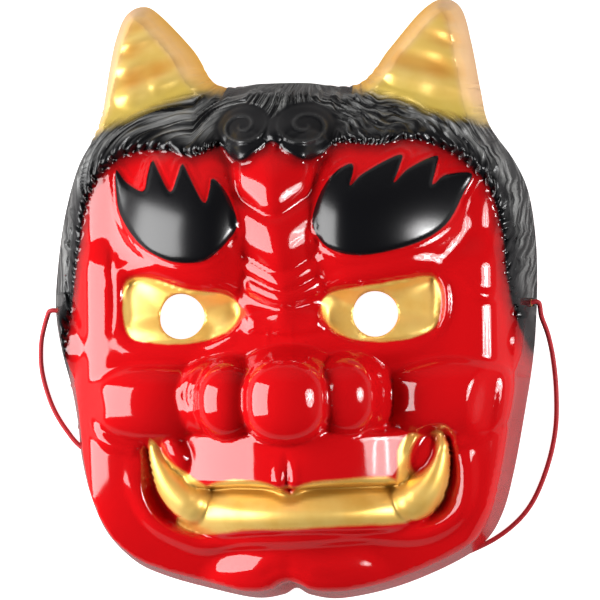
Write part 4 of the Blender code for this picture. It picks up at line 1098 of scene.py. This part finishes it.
def add_tube(name, lines, radius, material):
    """round thread along one line or more, in mm; the first closes on itself if its ends meet"""
    curve = bpy.data.curves.new(name, "CURVE")
    curve.dimensions = "3D"
    curve.bevel_depth = radius
    curve.bevel_resolution = 4
    curve.use_fill_caps = True
    for line in lines:
        closed = bool(np.allclose(line[0], line[-1]))
        kept = line[:-1] if closed else line
        spline = curve.splines.new("POLY")
        spline.points.add(len(kept) - 1)
        spline.use_cyclic_u = closed
        for point, spot in zip(spline.points, kept):
            point.co = (*(np.array(spot) * MM), 1.0)
    curve.materials.append(material)
    tube = bpy.data.objects.new(name, curve)
    bpy.context.scene.collection.objects.link(tube)
    return tube


def build_knot(name, node, inward, material):
    """the end of the elastic tied in a small knot; inward is +1 or -1 along X"""
    turn = np.linspace(0.0, 2 * math.pi, KNOT_POINTS + 1)
    across = np.sin(turn) + 2 * np.sin(2 * turn)
    up = np.cos(turn) - 2 * np.cos(2 * turn)
    deep = -1.4 * np.sin(3 * turn)
    middle = np.array(knot_middle(node)) / MM
    size = KNOT_SCALE / MM
    loops = np.column_stack([deep * inward, across, up]) * size + middle
    tail = smooth_line(KNOT_TAIL) * (inward, 1.0, 1.0) + middle
    knot = add_tube(name, [loops, tail], KNOT_THREAD_RADIUS, material)
    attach(knot, "root")
    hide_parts(node)
    return knot


def build_cord(material):
    start = knot_middle("elastic_knot_left")
    end = knot_middle("elastic_knot_right")
    start.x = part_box("elastic_knot_left")[0][0] - CORD_GAP
    end.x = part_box("elastic_knot_right")[1][0] + CORD_GAP
    middle = face_middle()
    route = [(p[0] - middle[0], p[1] - middle[1], p[2]) for p in CORD_ROUTE]
    straight = Vector((CORD_STRAIGHT, 0, 0))
    ends = [tuple(start / MM), tuple((start - straight) / MM)]
    far = [tuple((end + straight) / MM), tuple(end / MM)]
    line = smooth_line(ends + route + far, steps=12)
    cord = add_tube("elastic_thread", [line], CORD_DIAMETER / 2, material)
    knots = [build_knot("elastic_knot_1", "elastic_knot_left", 1, material),
             build_knot("elastic_knot_2", "elastic_knot_right", -1, material)]
    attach(cord, "root")
    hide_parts("elastic_cord")
    return cord


def build_camera():
    tilt, roll = CAMERA_TILT, CAMERA_ROLL
    right = Vector((math.cos(tilt), 0.0, -math.sin(tilt)))
    up = Vector((0.0, 1.0, 0.0))
    back = Vector((math.sin(tilt), 0.0, math.cos(tilt)))
    turned_right = right * math.cos(roll) - up * math.sin(roll)
    turned_up = right * math.sin(roll) + up * math.cos(roll)
    middle = face_middle() * MM
    target = Vector((-middle[0], -middle[1], 0.0))
    target += turned_right * (PHOTO_PIXELS / 2 - MIDDLE_COLUMN) / PIXELS_PER_METRE
    lens = bpy.data.cameras.new("camera")
    lens.sensor_width = 36.0
    lens.lens = 36.0 * PIXELS_PER_METRE * CAMERA_DISTANCE / PHOTO_PIXELS
    camera = bpy.data.objects.new("camera", lens)
    axes = Matrix((turned_right, turned_up, back)).transposed().to_4x4()
    camera.matrix_world = Matrix.Translation(target + back * CAMERA_DISTANCE) @ axes
    bpy.context.scene.collection.objects.link(camera)
    bpy.context.scene.camera = camera


def add_panel(name, azimuth, elevation, distance, size, power, shape="RECTANGLE"):
    """a soft light that looks at the mask; azimuth from straight above towards +X"""
    light = bpy.data.lights.new(name, "AREA")
    light.shape = shape
    light.size, light.size_y = size
    light.energy = power
    a, e = math.radians(azimuth), math.radians(elevation)
    way = Vector((math.sin(a) * math.cos(e), math.sin(e), math.cos(a) * math.cos(e)))
    lamp = bpy.data.objects.new(name, light)
    lamp.location = way * distance + Vector((0, 0, 0.05))
    lamp.rotation_euler = way.to_track_quat("Z", "Y").to_euler()
    bpy.context.scene.collection.objects.link(lamp)
    return lamp


def build_floor():
    """a pale floor that is clear white to the camera, so nothing but the mask and its cord shows"""
    bpy.ops.mesh.primitive_plane_add(size=FLOOR_SIZE, location=(0, 0, 0))
    floor = bpy.context.active_object
    floor.name = "studio_floor"
    material, nodes, links, shader = new_material("pale_floor")
    rays = nodes.new("ShaderNodeLightPath")
    shade = mix_colour(nodes, links, rays.outputs["Is Glossy Ray"], FLOOR_COLOUR, FLOOR_REFLECTED)
    links.new(shade, shader.inputs["Base Color"])
    socket_value(shader, "Roughness", 0.9)
    socket_value(shader, "Emission Color", (1.0, 1.0, 1.0, 1.0))
    bounce = mix_value(nodes, links, rays.outputs["Is Glossy Ray"], FLOOR_BOUNCE, FLOOR_GLOW)
    white = mix_value(nodes, links, rays.outputs["Is Camera Ray"], bounce, 1.0)
    links.new(white, shader.inputs["Emission Strength"])
    floor.data.materials.append(material)


def build_studio():
    """soft light from all round, stronger from the horns' side and from the low right and left"""
    world = bpy.data.worlds.new("studio")
    world.use_nodes = True
    nodes, links = world.node_tree.nodes, world.node_tree.links
    place = nodes.new("ShaderNodeTexCoord")
    parts = nodes.new("ShaderNodeSeparateXYZ")
    links.new(place.outputs["Generated"], parts.inputs["Vector"])
    x, y, z = parts.outputs
    total = None
    for component, low, high, strength in ((z, -0.2, 0.9, 0.28), (y, 0.55, 0.97, 1.8), (x, 0.80, 0.99, 2.2),
                                           (x, -0.86, -0.99, 1.2)):
        part = ramp(nodes, links, component, low, high, strength)
        if total is None:
            total = part
            continue
        node = nodes.new("ShaderNodeMath")
        links.new(total, node.inputs[0])
        links.new(part, node.inputs[1])
        total = node.outputs[0]
    links.new(total, nodes["Background"].inputs["Strength"])
    bpy.context.scene.world = world


def build_lights():
    add_panel("left_softbox", *SOFTBOX_PLACE, *SOFTBOX)
    add_panel("right_umbrella", *UMBRELLA_PLACE, *UMBRELLA, "DISK")
    add_panel("right_umbrella_middle", *UMBRELLA_PLACE[:2], MIDDLE_DISTANCE, *UMBRELLA_MIDDLE, "DISK")
    for number in range(4):
        rib = add_panel("right_umbrella_rib_%d" % number, *UMBRELLA_PLACE[:2], RIB_DISTANCE, *UMBRELLA_RIB)
        rib.rotation_euler.rotate_axis("Z", math.radians(20 + 45 * number))
    build_studio()
    bpy.context.scene.view_settings.view_transform = "Standard"


build_camera()
mottled = mottle_group()
build_cord(elastic_thread(mottled))
build_face(painted_plastic(spray_group(), mottled), bare_plastic(mottled))
build_floor()
build_lights()
